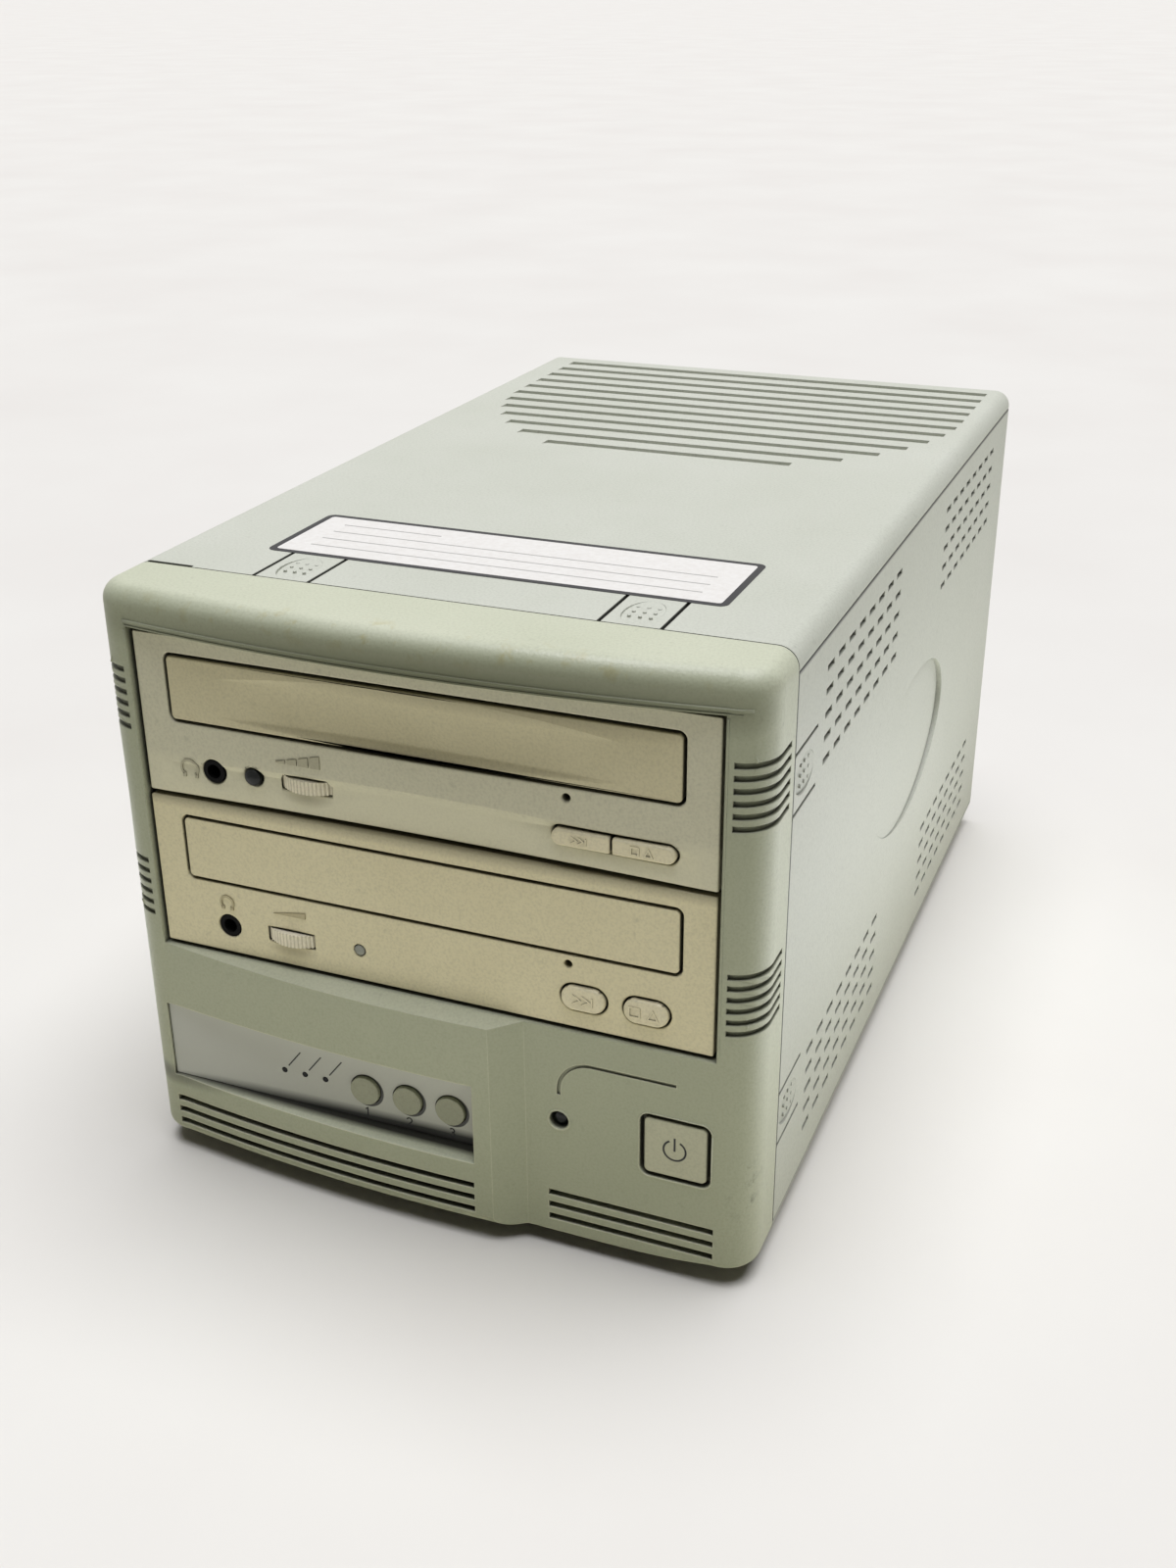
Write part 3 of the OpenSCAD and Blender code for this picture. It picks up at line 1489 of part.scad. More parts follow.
module lower_eject_button() {
    eject_button(LOWER);
}

module lower_volume_wheel() {
    volume_wheel(LOWER);
}

module lower_headphone_jack() {
    headphone_jack(LOWER);
}

module lower_drive_lamp() {
    drive_lamp(LOWER);
}

module lower_drive_board() {
    drive_board(LOWER);
}

module upper_drive_case() {
    drive_case(UPPER);
}

module upper_drive_cover() {
    drive_cover(UPPER);
}

module upper_drive_bezel() {
    drive_bezel(UPPER);
}

module upper_loader_frame() {
    loader_frame(UPPER);
}

module upper_tray() {
    tray(UPPER);
}

module upper_tray_door() {
    tray_door(UPPER);
}

module upper_loading_gear() {
    loading_gear(UPPER);
}

module upper_spindle() {
    spindle(UPPER);
}

module upper_pickup_sled() {
    pickup_sled(UPPER);
}

module upper_traverse_deck() {
    traverse_deck(UPPER);
}

module upper_skip_button() {
    skip_button(UPPER);
}

module upper_eject_button() {
    eject_button(UPPER);
}

module upper_volume_wheel() {
    volume_wheel(UPPER);
}

module upper_headphone_jack() {
    headphone_jack(UPPER);
}

module upper_drive_lamp() {
    drive_lamp(UPPER);
}

module upper_drive_board() {
    drive_board(UPPER);
}

front_bezel();
top_cover();
left_side_panel();
right_side_panel();
base_tray();
rear_panel();
drive_cage();
rubber_feet();
drive_screws();
case_screws();
control_overlay();
mode_button();
speed_button();
run_button();
status_leds();
panel_board();
power_button();
power_switch();
power_led();
power_supply();
power_inlet();
fan_frame();
fan_rotor();
fan_guard();
controller_board();
data_ribbons();
guide_rods();
disc_clamps();
lower_drive_case();
lower_drive_cover();
lower_drive_bezel();
lower_loader_frame();
lower_tray();
lower_tray_door();
lower_loading_gear();
lower_spindle();
lower_pickup_sled();
lower_traverse_deck();
lower_skip_button();
lower_eject_button();
lower_volume_wheel();
lower_headphone_jack();
lower_drive_lamp();
lower_drive_board();
upper_drive_case();
upper_drive_cover();
upper_drive_bezel();
upper_loader_frame();
upper_tray();
upper_tray_door();
upper_loading_gear();
upper_spindle();
upper_pickup_sled();
upper_traverse_deck();
upper_skip_button();
upper_eject_button();
upper_volume_wheel();
upper_headphone_jack();
upper_drive_lamp();
upper_drive_board();
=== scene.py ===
import math
import bmesh
import bpy
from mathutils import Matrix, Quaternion, Vector
from mathutils.bvhtree import BVHTree


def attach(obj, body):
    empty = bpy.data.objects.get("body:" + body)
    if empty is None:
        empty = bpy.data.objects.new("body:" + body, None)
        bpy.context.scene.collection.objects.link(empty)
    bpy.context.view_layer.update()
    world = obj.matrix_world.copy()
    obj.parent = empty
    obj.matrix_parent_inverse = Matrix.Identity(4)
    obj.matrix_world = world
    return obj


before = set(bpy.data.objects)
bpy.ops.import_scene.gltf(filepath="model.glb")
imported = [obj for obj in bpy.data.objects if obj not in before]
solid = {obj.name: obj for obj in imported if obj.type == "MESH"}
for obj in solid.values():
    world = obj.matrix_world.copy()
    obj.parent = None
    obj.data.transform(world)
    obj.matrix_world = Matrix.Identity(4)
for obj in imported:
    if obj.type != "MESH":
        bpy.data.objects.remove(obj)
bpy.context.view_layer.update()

# Rubber feet
# Four soft black rubber pads under the base, punched from sheet and held by one screw each.
# Their skin is matt and dusty, so it takes a fine speckle and a dry, broken sheen.
MM = 0.001
WELD_REACH = 0.01
FLAT_ANGLE = 0.3
EDGE_ANGLE = 30


def put(tree, kind, inputs=None, **settings):
    made = tree.nodes.new("ShaderNode" + kind)
    for name, value in settings.items():
        setattr(made, name, value)
    for name, value in (inputs or {}).items():
        if isinstance(value, bpy.types.NodeSocket):
            tree.links.new(value, made.inputs[name])
        else:
            made.inputs[name].default_value = value
    return made


def paint(code):
    parts = [int(code[i:i + 2], 16) / 255 for i in (1, 3, 5)]
    return [c / 12.92 if c < 0.04045 else ((c + 0.055) / 1.055) ** 2.4 for c in parts] + [1.0]


def fresh_material(name):
    made = bpy.data.materials.new(name)
    made.use_nodes = True
    tree = made.node_tree
    tree.nodes.clear()
    shader = put(tree, "BsdfPrincipled")
    put(tree, "OutputMaterial", {"Surface": shader.outputs["BSDF"]})
    place = put(tree, "TexCoord").outputs["Object"]
    return made, tree, shader, place


def noise(tree, place, scale, detail=3.0, rough=0.5):
    grain = {"Vector": place, "Scale": scale, "Detail": detail, "Roughness": rough}
    return put(tree, "TexNoise", grain).outputs["Fac"]


def span(tree, value, low, high, to_low, to_high):
    ends = {"Value": value, "From Min": low, "From Max": high, "To Min": to_low, "To Max": to_high}
    return put(tree, "MapRange", ends).outputs["Result"]


def blend(tree, share, first, second):
    mixed = put(tree, "Mix", {"Factor": share}, data_type="RGBA")
    for socket, value in ((mixed.inputs[6], first), (mixed.inputs[7], second)):
        if isinstance(value, bpy.types.NodeSocket):
            tree.links.new(value, socket)
        else:
            socket.default_value = value
    return mixed.outputs[2]


def coat(tree, shader, colour, dull):
    tree.links.new(colour, shader.inputs["Base Color"])
    tree.links.new(dull, shader.inputs["Roughness"])


def emboss(tree, shader, height, strength, depth, soft=0.0):
    bump = put(tree, "Bump", {"Height": height, "Strength": strength, "Distance": depth * MM})
    if soft:
        rounded = put(tree, "Bevel", {"Radius": soft * MM}, samples=6)
        tree.links.new(rounded.outputs["Normal"], bump.inputs["Normal"])
    tree.links.new(bump.outputs["Normal"], shader.inputs["Normal"])


def dress(name, material, edge=0.0):
    piece = solid[name]
    piece.data.materials.clear()
    piece.data.materials.append(material)
    if edge:
        weld = piece.modifiers.new("weld", "WELD")
        weld.merge_threshold = WELD_REACH * MM
        flat = piece.modifiers.new("flat", "DECIMATE")
        flat.decimate_type = "DISSOLVE"
        flat.angle_limit = math.radians(FLAT_ANGLE)
        bevel = piece.modifiers.new("edge", "BEVEL")
        bevel.width = edge * MM
        bevel.segments = 2
        bevel.limit_method = "ANGLE"
        bevel.angle_limit = math.radians(EDGE_ANGLE)
        bevel.harden_normals = True
        bevel.use_clamp_overlap = False


foot_rubber, tree, shader, place = fresh_material("foot_rubber")
dust = noise(tree, place, 300, 4)
dusty = blend(tree, span(tree, dust, 0.5, 0.8, 0, 0.5), paint("#1B1B1A"), paint("#4B4A46"))
coat(tree, shader, dusty, span(tree, dust, 0.3, 0.7, 0.7, 0.92))
emboss(tree, shader, noise(tree, place, 2600), 0.25, 0.2)
dress("rubber_feet", foot_rubber, 0.4)

# Base, side panels and top cover
# Injection mouldings in one grey-green plastic with a fine eroded grain, a little blotched with age.
# They slide on to the steel cage and latch to the bezel with flexing tongues; their seams, crevices and
# tongue slits carry painted shade.
CASE_GREY = ("#C0C2B6", "#B7BAAC")
# Near-black colour of the painted shade in crevices, seams and tongue slits.
CREVICE_SHADE = paint("#191813")
COVER_SEAM = (155.3, 155.9)
BEZEL_SEAM = (-117.4, -117.8)
BASE_TOP = (8.3, 8.7)
TONGUE_MIDDLE, TONGUE_REACH = 1.5, 44.5
TONGUE_SLIT = (5.8, 6.6)
TONGUE_ROOT = (-100, -96)


def both(tree, first, second, how="MULTIPLY"):
    return put(tree, "Math", {0: first, 1: second}, operation=how).outputs[0]


def fade(tree, value, start, end, first=0.0, last=1.0):
    return span(tree, value, start * MM, end * MM, first, last)


def gap(tree, value, centre):
    off = both(tree, value, centre * MM, "SUBTRACT")
    return put(tree, "Math", {0: off}, operation="ABSOLUTE").outputs[0]


def axes(tree, vector):
    return put(tree, "SeparateXYZ", {"Vector": vector}).outputs


def crevice(tree, reach):
    return put(tree, "AmbientOcclusion", {"Distance": reach * MM}, samples=8).outputs["AO"]


def recolour(tree, shader, colour):
    tree.links.new(colour, shader.inputs["Base Color"])


def moulded_plastic(name, colour, aged, rough=0.5, soft=0.0, shade_share=0.95, reach=3.5):
    made, tree, shader, place = fresh_material(name)
    speck = paint("#4A4A3C")
    cloud = noise(tree, place, 14, 5, 0.62)
    grain = noise(tree, place, 1500, 2)
    pits = noise(tree, place, 420, 2)
    toned = blend(tree, span(tree, cloud, 0.34, 0.7, 0, 1), paint(colour), paint(aged))
    toned = blend(tree, span(tree, grain, 0.42, 0.7, 0, 0.12), toned, speck)
    toned = blend(tree, span(tree, pits, 0.66, 0.82, 0, 0.16), toned, speck)
    # Crevices and gaps found by ambient occlusion are darkened as painted shade.
    toned = blend(tree, span(tree, crevice(tree, reach), 0.12, 0.7, shade_share, 0), toned, CREVICE_SHADE)
    coat(tree, shader, toned, span(tree, cloud, 0.3, 0.7, rough + 0.07, rough - 0.06))
    emboss(tree, shader, grain, 0.3, 0.2, soft)
    return made, tree, shader, place, toned


case_plastic, tree, shader, place, toned = moulded_plastic("case_plastic", *CASE_GREY, soft=0.4)
spot = axes(tree, place)
# The seams at the cover, the bezel and the base are painted as dark shadow lines.
top_line = fade(tree, spot["Z"], *COVER_SEAM, 0, 0.85)
front_line = fade(tree, spot["Y"], *BEZEL_SEAM, 0, 0.7)
seam_shadow = both(tree, both(tree, top_line, front_line, "MAXIMUM"), fade(tree, spot["Z"], *BASE_TOP))
recolour(tree, shader, blend(tree, seam_shadow, toned, paint("#26251E")))
for name in ("base_tray", "left_side_panel", "right_side_panel"):
    dress(name, case_plastic)
cover = moulded_plastic("cover_plastic", *CASE_GREY, soft=0.3, shade_share=0.06)
cover_plastic, tree, shader, place, toned = cover
spot = axes(tree, place)
beside = gap(tree, gap(tree, spot["X"], TONGUE_MIDDLE), TONGUE_REACH)
# The tongue slits near the tongue roots, found by occlusion, are darkened as painted shade.
slit = span(tree, crevice(tree, 2), 0.35, 0.9, 0.95, 0)
slit_shade = both(tree, fade(tree, spot["Y"], *TONGUE_ROOT, 1, 0), slit)
slit_shade = both(tree, slit_shade, fade(tree, beside, *TONGUE_SLIT))
recolour(tree, shader, blend(tree, slit_shade, toned, CREVICE_SHADE))
dress("top_cover", cover_plastic)

# Front bezel
# One deep moulding round both drives, in the same plastic, with a bowed panel at its foot and thin beads.
# Hands have yellowed and polished its brow, and its right foot is scuffed; painted shade darkens its brow
# front, front faces, recesses and window sill, and its lower edges are pale with wear and painted
# highlight.
WINDOW_END = (14.3, 14.8)
PANEL_TOP = (62, 66)
BROW_LINES = (("brow_bead", 153.7, (-75.6, 80.5), 0.4), ("brow_lip", 152.65, (-75.2, 78.5), 0.22))
PILLARS = (("left_pillar_bead", -75.4), ("right_pillar_bead", 75.4))
PILLAR_ENDS = (67.5, 151.6)
POWER_LAMP, LAMP_RIM = (35.4, 39.2), 2.85
POWER_KEY, KEY_STRAIGHT, KEY_CORNER = (65.4, 38.3), 6.5, 2.75


def near(tree, place, centre, reach):
    off = put(tree, "VectorMath", {0: place, 1: [c * MM for c in centre]}, operation="SUBTRACT").outputs[0]
    off = put(tree, "VectorMath", {0: off, 1: [r * MM for r in reach]}, operation="DIVIDE").outputs[0]
    far = put(tree, "VectorMath", {0: off}, operation="LENGTH").outputs["Value"]
    return span(tree, far, 0.2, 1.0, 1.0, 0.0)


bezel_plastic, tree, shader, place, toned = moulded_plastic("bezel_plastic", "#BFC2AC", "#B6BAA2", soft=0.4)
spot = axes(tree, place)
brow = near(tree, place, (0, -142, 160), (120, 9, 6))
stains = span(tree, noise(tree, place, 170, 4, 0.6), 0.56, 0.7, 0, 1)
toned = blend(tree, both(tree, both(tree, brow, stains), 0.8), toned, paint("#A69A63"))
# The brow's front is darkened as painted shade.
under = near(tree, place, (22, -144, 153), (190, 14, 8))
toned = blend(tree, both(tree, under, 0.95), toned, paint("#585942"))
# Faces that turn to the front are painted darker and greener as painted shade.
facing = axes(tree, put(tree, "NewGeometry").outputs["Normal"])["Y"]
toned = blend(tree, span(tree, facing, -0.2, -0.85, 0, 0.38), toned, paint("#7A8162"))
# The rear of the window sill is painted near black as painted shadow.
sill = near(tree, place, (14, -136, 24), (140, 4.6, 6))
foot_shadow = both(tree, sill, fade(tree, spot["X"], *WINDOW_END, 1, 0))
toned = blend(tree, span(tree, foot_shadow, 0.1, 0.6, 0, 0.97), toned, paint("#0C0B08"))
scuff = near(tree, place, (81.5, -132, 30), (5, 9, 12))
streaks = span(tree, noise(tree, place, 230, 5, 0.7), 0.54, 0.7, 0, 1)
toned = blend(tree, both(tree, both(tree, scuff, streaks), 0.8), toned, paint("#35342D"))
# Recesses found by occlusion within 12 mm are darkened as painted shade.
toned = blend(tree, span(tree, crevice(tree, 12), 0.1, 0.5, 0.8, 0), toned, paint("#23221C"))
# Edges below the panel top turn pale, partly as rubbed wear and partly as painted highlight.
rounded = put(tree, "Bevel", {"Radius": 0.5 * MM}, samples=6).outputs["Normal"]
flat = put(tree, "NewGeometry").outputs["True Normal"]
turned = put(tree, "VectorMath", {0: rounded, 1: flat}, operation="DOT_PRODUCT").outputs["Value"]
clear = span(tree, crevice(tree, 1.5), 0.7, 0.95, 0, 1)
worn = both(tree, span(tree, turned, 0.99, 0.93, 0, 0.7), clear)
worn = both(tree, worn, fade(tree, spot["Z"], *PANEL_TOP, 1, 0))
recolour(tree, shader, blend(tree, worn, toned, paint("#DAD9C0")))
polish = span(tree, near(tree, place, (50, -141, 160), (60, 9, 6)), 0, 1, 1, 0.6)
dull = shader.inputs["Roughness"].links[0].from_socket
tree.links.new(both(tree, dull, polish), shader.inputs["Roughness"])
dress("front_bezel", bezel_plastic)


def surface_finder(node, aim):
    mesh = solid[node].data
    skin = BVHTree.FromPolygons([v.co for v in mesh.vertices], [list(p.vertices) for p in mesh.polygons])
    away = Vector((0, 1, 0)) if aim == "front" else Vector((0, 0, -1))

    def find(u, v):
        start = Vector((u, -300, v)) if aim == "front" else Vector((u, v, 300))
        return skin.ray_cast(start * MM, away)[0]
    return find, away


def join_rings(made, rings):
    for one, two in zip(rings, rings[1:]):
        for k in range(len(one)):
            made.faces.new((one[k], one[k - 1], two[k - 1], two[k]))


def fix_piece(name, made, material, body):
    bmesh.ops.recalc_face_normals(made, faces=made.faces)
    mesh = bpy.data.meshes.new(name)
    made.to_mesh(mesh)
    made.free()
    mesh.materials.append(material)
    piece = bpy.data.objects.new(name, mesh)
    bpy.context.collection.objects.link(piece)
    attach(piece, body)


def bead(name, path, radius):
    find, away = surface_finder("front_bezel", "front")
    line = [find(x, z) for x, z in path]
    turns = [math.radians(45 * k) for k in range(8)]
    made = bmesh.new()
    rings = []
    for i, here in enumerate(line):
        along = (line[min(i + 1, len(line) - 1)] - line[max(i - 1, 0)]).normalized()
        side = along.cross(-away).normalized()
        ring = [(side * math.sin(t) - away * math.cos(t)) * radius * MM for t in turns]
        rings.append([made.verts.new(here + off) for off in ring])
    join_rings(made, rings)
    made.faces.new(rings[0])
    made.faces.new(rings[-1])
    for face in made.faces:
        face.smooth = True
    fix_piece(name, made, bezel_plastic, "case")


def run(first, last, steps):
    return [first + (last - first) * i / steps for i in range(steps + 1)]


def arc(cx, cy, radius, start, end, steps=24):
    turns = [math.radians(turn) for turn in run(start, end, steps)]
    return [(cx + radius * math.cos(t), cy + radius * math.sin(t)) for t in turns]


for name, height, ends, radius in BROW_LINES:
    bead(name, [(x, height) for x in run(*ends, 60)], radius)
for name, x in PILLARS:
    bead(name, [(x, z) for z in run(*PILLAR_ENDS, 24)], 0.28)
bead("lamp_rim", arc(*POWER_LAMP, LAMP_RIM, 0, 360, 40), 0.26)
rim = []
for start, side, high in ((0, 1, 1), (90, -1, 1), (180, -1, -1), (270, 1, -1)):
    corner = (POWER_KEY[0] + side * KEY_STRAIGHT, POWER_KEY[1] + high * KEY_STRAIGHT)
    rim += arc(*corner, KEY_CORNER, start, start + 81, 9)
bead("power_key_rim", rim + rim[:1], 0.2)

# Steel cage, rear panel and power supply
# Folded from zinc-plated sheet, so they show the plating's pale crystal pattern and a rolled grain.
# The drives hang in the cage, and the rear panel and the supply are screwed to it.


def plated_steel(name, light, dark, rough, crystal=150):
    made, tree, shader, place = fresh_material(name)
    crystals = {"Vector": place, "Scale": crystal, "Randomness": 1.0}
    cells = put(tree, "TexVoronoi", crystals).outputs["Color"]
    share = put(tree, "SeparateColor", {"Color": cells}).outputs["Red"]
    stretched = put(tree, "Mapping", {"Vector": place, "Scale": (40, 900, 900)}).outputs["Vector"]
    rolled = noise(tree, stretched, 1.0, 3)
    tone = both(tree, both(tree, share, 0.45), both(tree, rolled, 0.55), "ADD")
    plate = blend(tree, span(tree, tone, 0.2, 0.8, 0, 1), paint(light), paint(dark))
    coat(tree, shader, plate, span(tree, tone, 0.2, 0.8, rough - 0.06, rough + 0.1))
    shader.inputs["Metallic"].default_value = 1.0
    emboss(tree, shader, rolled, 0.1, 0.1)
    return made


sheet_steel = plated_steel("sheet_steel", "#C6C8C8", "#B2B5B6", 0.38)
for name in ("drive_cage", "rear_panel", "power_supply"):
    dress(name, sheet_steel)

# Screws
# Zinc-plated machine screws with pan heads, turned and rolled, bright with darker smears.
# They hold the drives, the supply, the fan, the feet and the rear panel.
bright_steel = plated_steel("bright_steel", "#DADBDA", "#B4B5B4", 0.26, 260)
for name in ("drive_screws", "case_screws"):
    dress(name, bright_steel)

# Cooling fan and its guard
# A black glass-filled frame and rotor behind a plated wire guard.
# The rotor turns on the frame's bearing post; the guard is screwed on from behind.


def dark_plastic(name, colour, worn, rough):
    made, tree, shader, place = fresh_material(name)
    cloud = noise(tree, place, 60, 4, 0.6)
    toned = blend(tree, span(tree, cloud, 0.4, 0.75, 0, 1), paint(colour), paint(worn))
    coat(tree, shader, toned, span(tree, cloud, 0.3, 0.7, rough - 0.06, rough + 0.1))
    emboss(tree, shader, noise(tree, place, 3000, 2), 0.1, 0.1)
    return made


black_plastic = dark_plastic("black_plastic", "#171717", "#2B2A28", 0.45)
for name in ("fan_frame", "fan_rotor"):
    dress(name, black_plastic)
dress("fan_guard", bright_steel)

# Mains inlet
# A black thermoplastic socket with a flange and three flat pins, screwed into the rear panel.
# It is moulded smoother than the fan, so it keeps a low sheen.
dress("power_inlet", dark_plastic("inlet_plastic", "#141414", "#242322", 0.36), 0.3)

# Circuit boards
# Glass laminate under green lacquer, with etched copper tracks showing as paler lines and pads.
# The controller, the panel board and a board in each drive are alike.
board_laminate, tree, shader, place = fresh_material("board_laminate")
etching = {"Vector": place, "Scale": 260.0, "Mortar Size": 0.045,
           "Color1": (0, 0, 0, 1), "Color2": (0.1, 0.1, 0.1, 1), "Mortar": (1, 1, 1, 1)}
tracks = put(tree, "TexBrick", etching).outputs["Color"]
copper = put(tree, "SeparateColor", {"Color": tracks}).outputs["Red"]
cloud = span(tree, noise(tree, place, 35, 4), 0.35, 0.7, 0, 1)
lacquer = blend(tree, cloud, paint("#1D4A2C"), paint("#275A36"))
lacquer = blend(tree, both(tree, copper, 0.55), lacquer, paint("#5F8A4E"))
coat(tree, shader, lacquer, span(tree, copper, 0, 1, 0.4, 0.28))
emboss(tree, shader, copper, 0.2, 0.1)
for name in ("controller_board", "panel_board", "lower_drive_board", "upper_drive_board"):
    dress(name, board_laminate)

# Data ribbons
# Flat grey cables of parallel wires in ribbed insulation, pressed into header plugs at both ends.
# They run from each drive's board to the controller.
cable_grey, tree, shader, place = fresh_material("cable_grey")
wires = {"Vector": place, "Scale": 125.0, "Distortion": 0.3}
ribs = put(tree, "TexWave", wires, bands_direction="X").outputs["Fac"]
ribbed = blend(tree, span(tree, ribs, 0.0, 1.0, 0, 1), paint("#77776F"), paint("#A5A59C"))
coat(tree, shader, ribbed, span(tree, noise(tree, place, 200), 0.3, 0.7, 0.5, 0.68))
emboss(tree, shader, ribs, 0.5, 0.3)
dress("data_ribbons", cable_grey)

# Drive shells and decks
# Each drive is a deep drawn steel tray with a pressed lid, and carries a stamped steel deck inside.
# They use the same plated sheet as the cage, a shade darker and duller.
drive_steel = plated_steel("drive_steel", "#B6B8B9", "#93969A", 0.42, 130)
for bay in ("lower", "upper"):
    for name in ("drive_case", "drive_cover", "traverse_deck"):
        dress(f"{bay}_{name}", drive_steel)

# Loaders
# Black moulded frames hold the trays on rails; a white gear meshes with each tray's rack.
# The spindle, the sled on its two ground rods and the clamp above handle the disc.
tray_plastic = dark_plastic("tray_plastic", "#1F2022", "#34332F", 0.5)
white_plastic = moulded_plastic("white_plastic", "#DAD7CA", "#CBC7B6", 0.42)[0]
for bay in ("lower", "upper"):
    dress(f"{bay}_loader_frame", tray_plastic)
    dress(f"{bay}_tray", tray_plastic, 0.4)
    dress(f"{bay}_loading_gear", white_plastic)
    dress(f"{bay}_spindle", black_plastic)
    dress(f"{bay}_pickup_sled", black_plastic)
dress("disc_clamps", white_plastic)
dress("guide_rods", bright_steel)

# Upper drive face
# A grey-beige moulding with a paler band along its foot, and an olive door scooped along its middle.
# Headphone and level signs stand a little proud in a darker tone as painted shade; painted shade lies below
# the volume wheel's slot and along the door's top.
FACE = -136.5
UPPER_FOOT = 109.5
UPPER_WHEEL = -29.7
LEVEL_LEFT, LEVEL_PITCH, LEVEL_WIDE = -36.9, 3.15, 2.6


def stroke(points, width, closed=False):
    line = [Vector(p) for p in points]
    count = len(line)
    rails = []
    for i, here in enumerate(line):
        before = line[i - 1] if i or closed else here
        after = line[(i + 1) % count] if i < count - 1 or closed else here
        a = (here - before).normalized() if (here - before).length else (after - here).normalized()
        b = (after - here).normalized() if (after - here).length else a
        side = Vector((-(a + b).y, (a + b).x)).normalized()
        fit = max(0.5, side.dot(Vector((-a.y, a.x))))
        rails.append((here + side * width / 2 / fit, here - side * width / 2 / fit))
    if closed:
        rails.append(rails[0])
    return [(one[0], one[1], two[1], two[0]) for one, two in zip(rails, rails[1:])]


def mark(name, node, patches, proud, material, body, aim="front", sink=0.08):
    find, away = surface_finder(node, aim)
    made = bmesh.new()
    for patch in patches:
        made.faces.new([made.verts.new(find(u, v) - away * proud * MM) for u, v in patch])
    bmesh.ops.remove_doubles(made, verts=made.verts, dist=0.002 * MM)
    grown = bmesh.ops.extrude_face_region(made, geom=list(made.faces), use_keep_orig=True)
    low = [g for g in grown["geom"] if isinstance(g, bmesh.types.BMVert)]
    bmesh.ops.translate(made, verts=low, vec=away * (proud + sink) * MM)
    fix_piece(name, made, material, body)


# Paints a shadow on the face below the volume wheel's slot.
def shade_below_wheel(tree, shader, place, toned, wheel, foot, shade_colour):
    wheel_shadow = near(tree, place, (wheel, FACE, foot + 4.6), (8, 6, 2.6))
    recolour(tree, shader, blend(tree, both(tree, wheel_shadow, 0.5), toned, paint(shade_colour)))


def headphone_sign(cx, cz, radius):
    lines = stroke(arc(cx, cz, radius, -45, 225), 0.55)
    for side in (-1, 1):
        x = cx + side * radius * 0.72
        lines += stroke([(x, cz - radius * 1.05), (x, cz - radius * 0.5)], 0.9)
    return lines


upper_face, tree, shader, place, toned = moulded_plastic("upper_face_plastic", "#D2CFB8", "#CAC7AF")
foot_band = fade(tree, axes(tree, place)["Z"], UPPER_FOOT + 9, UPPER_FOOT + 11.7, 0.4, 0)
toned = blend(tree, foot_band, toned, paint("#E2DEC2"))
shade_below_wheel(tree, shader, place, toned, UPPER_WHEEL, UPPER_FOOT, "#7A745C")
dress("upper_drive_bezel", upper_face, 0.5)
upper_door, tree, shader, place, toned = moulded_plastic("upper_door_plastic", "#D4CCAB", "#CBC3A0")
# The door's upper part is darkened as painted shade in its scoop.
door_top_shade = near(tree, place, (14, FACE, UPPER_FOOT + 37.2), (68, 9, 5))
recolour(tree, shader, blend(tree, both(tree, door_top_shade, 0.5), toned, paint("#5E573A")))
dress("upper_tray_door", upper_door, 0.4)
signs = headphone_sign(-61.75, UPPER_FOOT + 7.5, 2.3)
low = UPPER_FOOT + 13.3
for i in range(4):
    left = LEVEL_LEFT + i * LEVEL_PITCH
    right = left + LEVEL_WIDE
    high = low + 0.9 + 0.8 * i
    signs.append([(left, low), (right, low), (right, high), (left, high - 0.6)])
# The signs are moulded a shade darker, as painted shade for their relief.
upper_sign = moulded_plastic("upper_sign_plastic", "#B4B098", "#ABA78E")[0]
mark("upper_face_signs", "upper_drive_bezel", signs, 0.3, upper_sign, "case")

# Lower drive face
# An aged beige face, flat and square, round a flat door of the same plastic, in shade along its top.
# Its headphone and level signs are moulded in low relief.
LOWER_FOOT = 66.5
LOWER_WHEEL = -36.9
lower_face, tree, shader, place, toned = moulded_plastic("lower_face_plastic", "#E2DAB8", "#D9D0AC")
shade = fade(tree, axes(tree, place)["Z"], LOWER_FOOT + 39, LOWER_FOOT + 41.7, 0, 0.55)
toned = blend(tree, shade, toned, paint("#4E482F"))
shade_below_wheel(tree, shader, place, toned, LOWER_WHEEL, LOWER_FOOT, "#7A7152")
dress("lower_drive_bezel", lower_face, 0.5)
dress("lower_tray_door", lower_face, 0.4)
signs = headphone_sign(-55, LOWER_FOOT + 14.4, 1.8)
low = LOWER_FOOT + 14.25
signs.append([(-41.5, low), (-32.4, low), (-32.4, low + 1.65)])
# The signs are moulded a shade darker, as painted shade for their relief.
lower_sign = moulded_plastic("lower_sign_plastic", "#B9AF8C", "#B0A682")[0]
mark("lower_face_signs", "lower_drive_bezel", signs, 0.3, lower_sign, "case")

# Volume wheels, headphone sockets and lamps
# Knurled off-white wheels show through slots; the sockets are black and matt inside.
# The upper lamp is a dark glossy dome, and the lower one a small frosted grey one.
WHEEL_RIDGES = 60
WHEEL_RIM = (9.4, 9.6)
WHEEL_POSTS = (("lower", LOWER_WHEEL, FACE + 8.2), ("upper", UPPER_WHEEL, FACE + 9.1))
DOME_SIDES, DOME_STEPS = 32, 8


def lens(name, clear, cloudy, rough):
    made, tree, shader, place = fresh_material(name)
    haze = noise(tree, place, 500, 3)
    glass = blend(tree, span(tree, haze, 0.35, 0.7, 0, 1), paint(clear), paint(cloudy))
    coat(tree, shader, glass, span(tree, haze, 0.3, 0.7, rough, rough + 0.12))
    shader.inputs["Specular IOR Level"].default_value = 0.22
    emboss(tree, shader, haze, 0.05, 0.1)
    return made


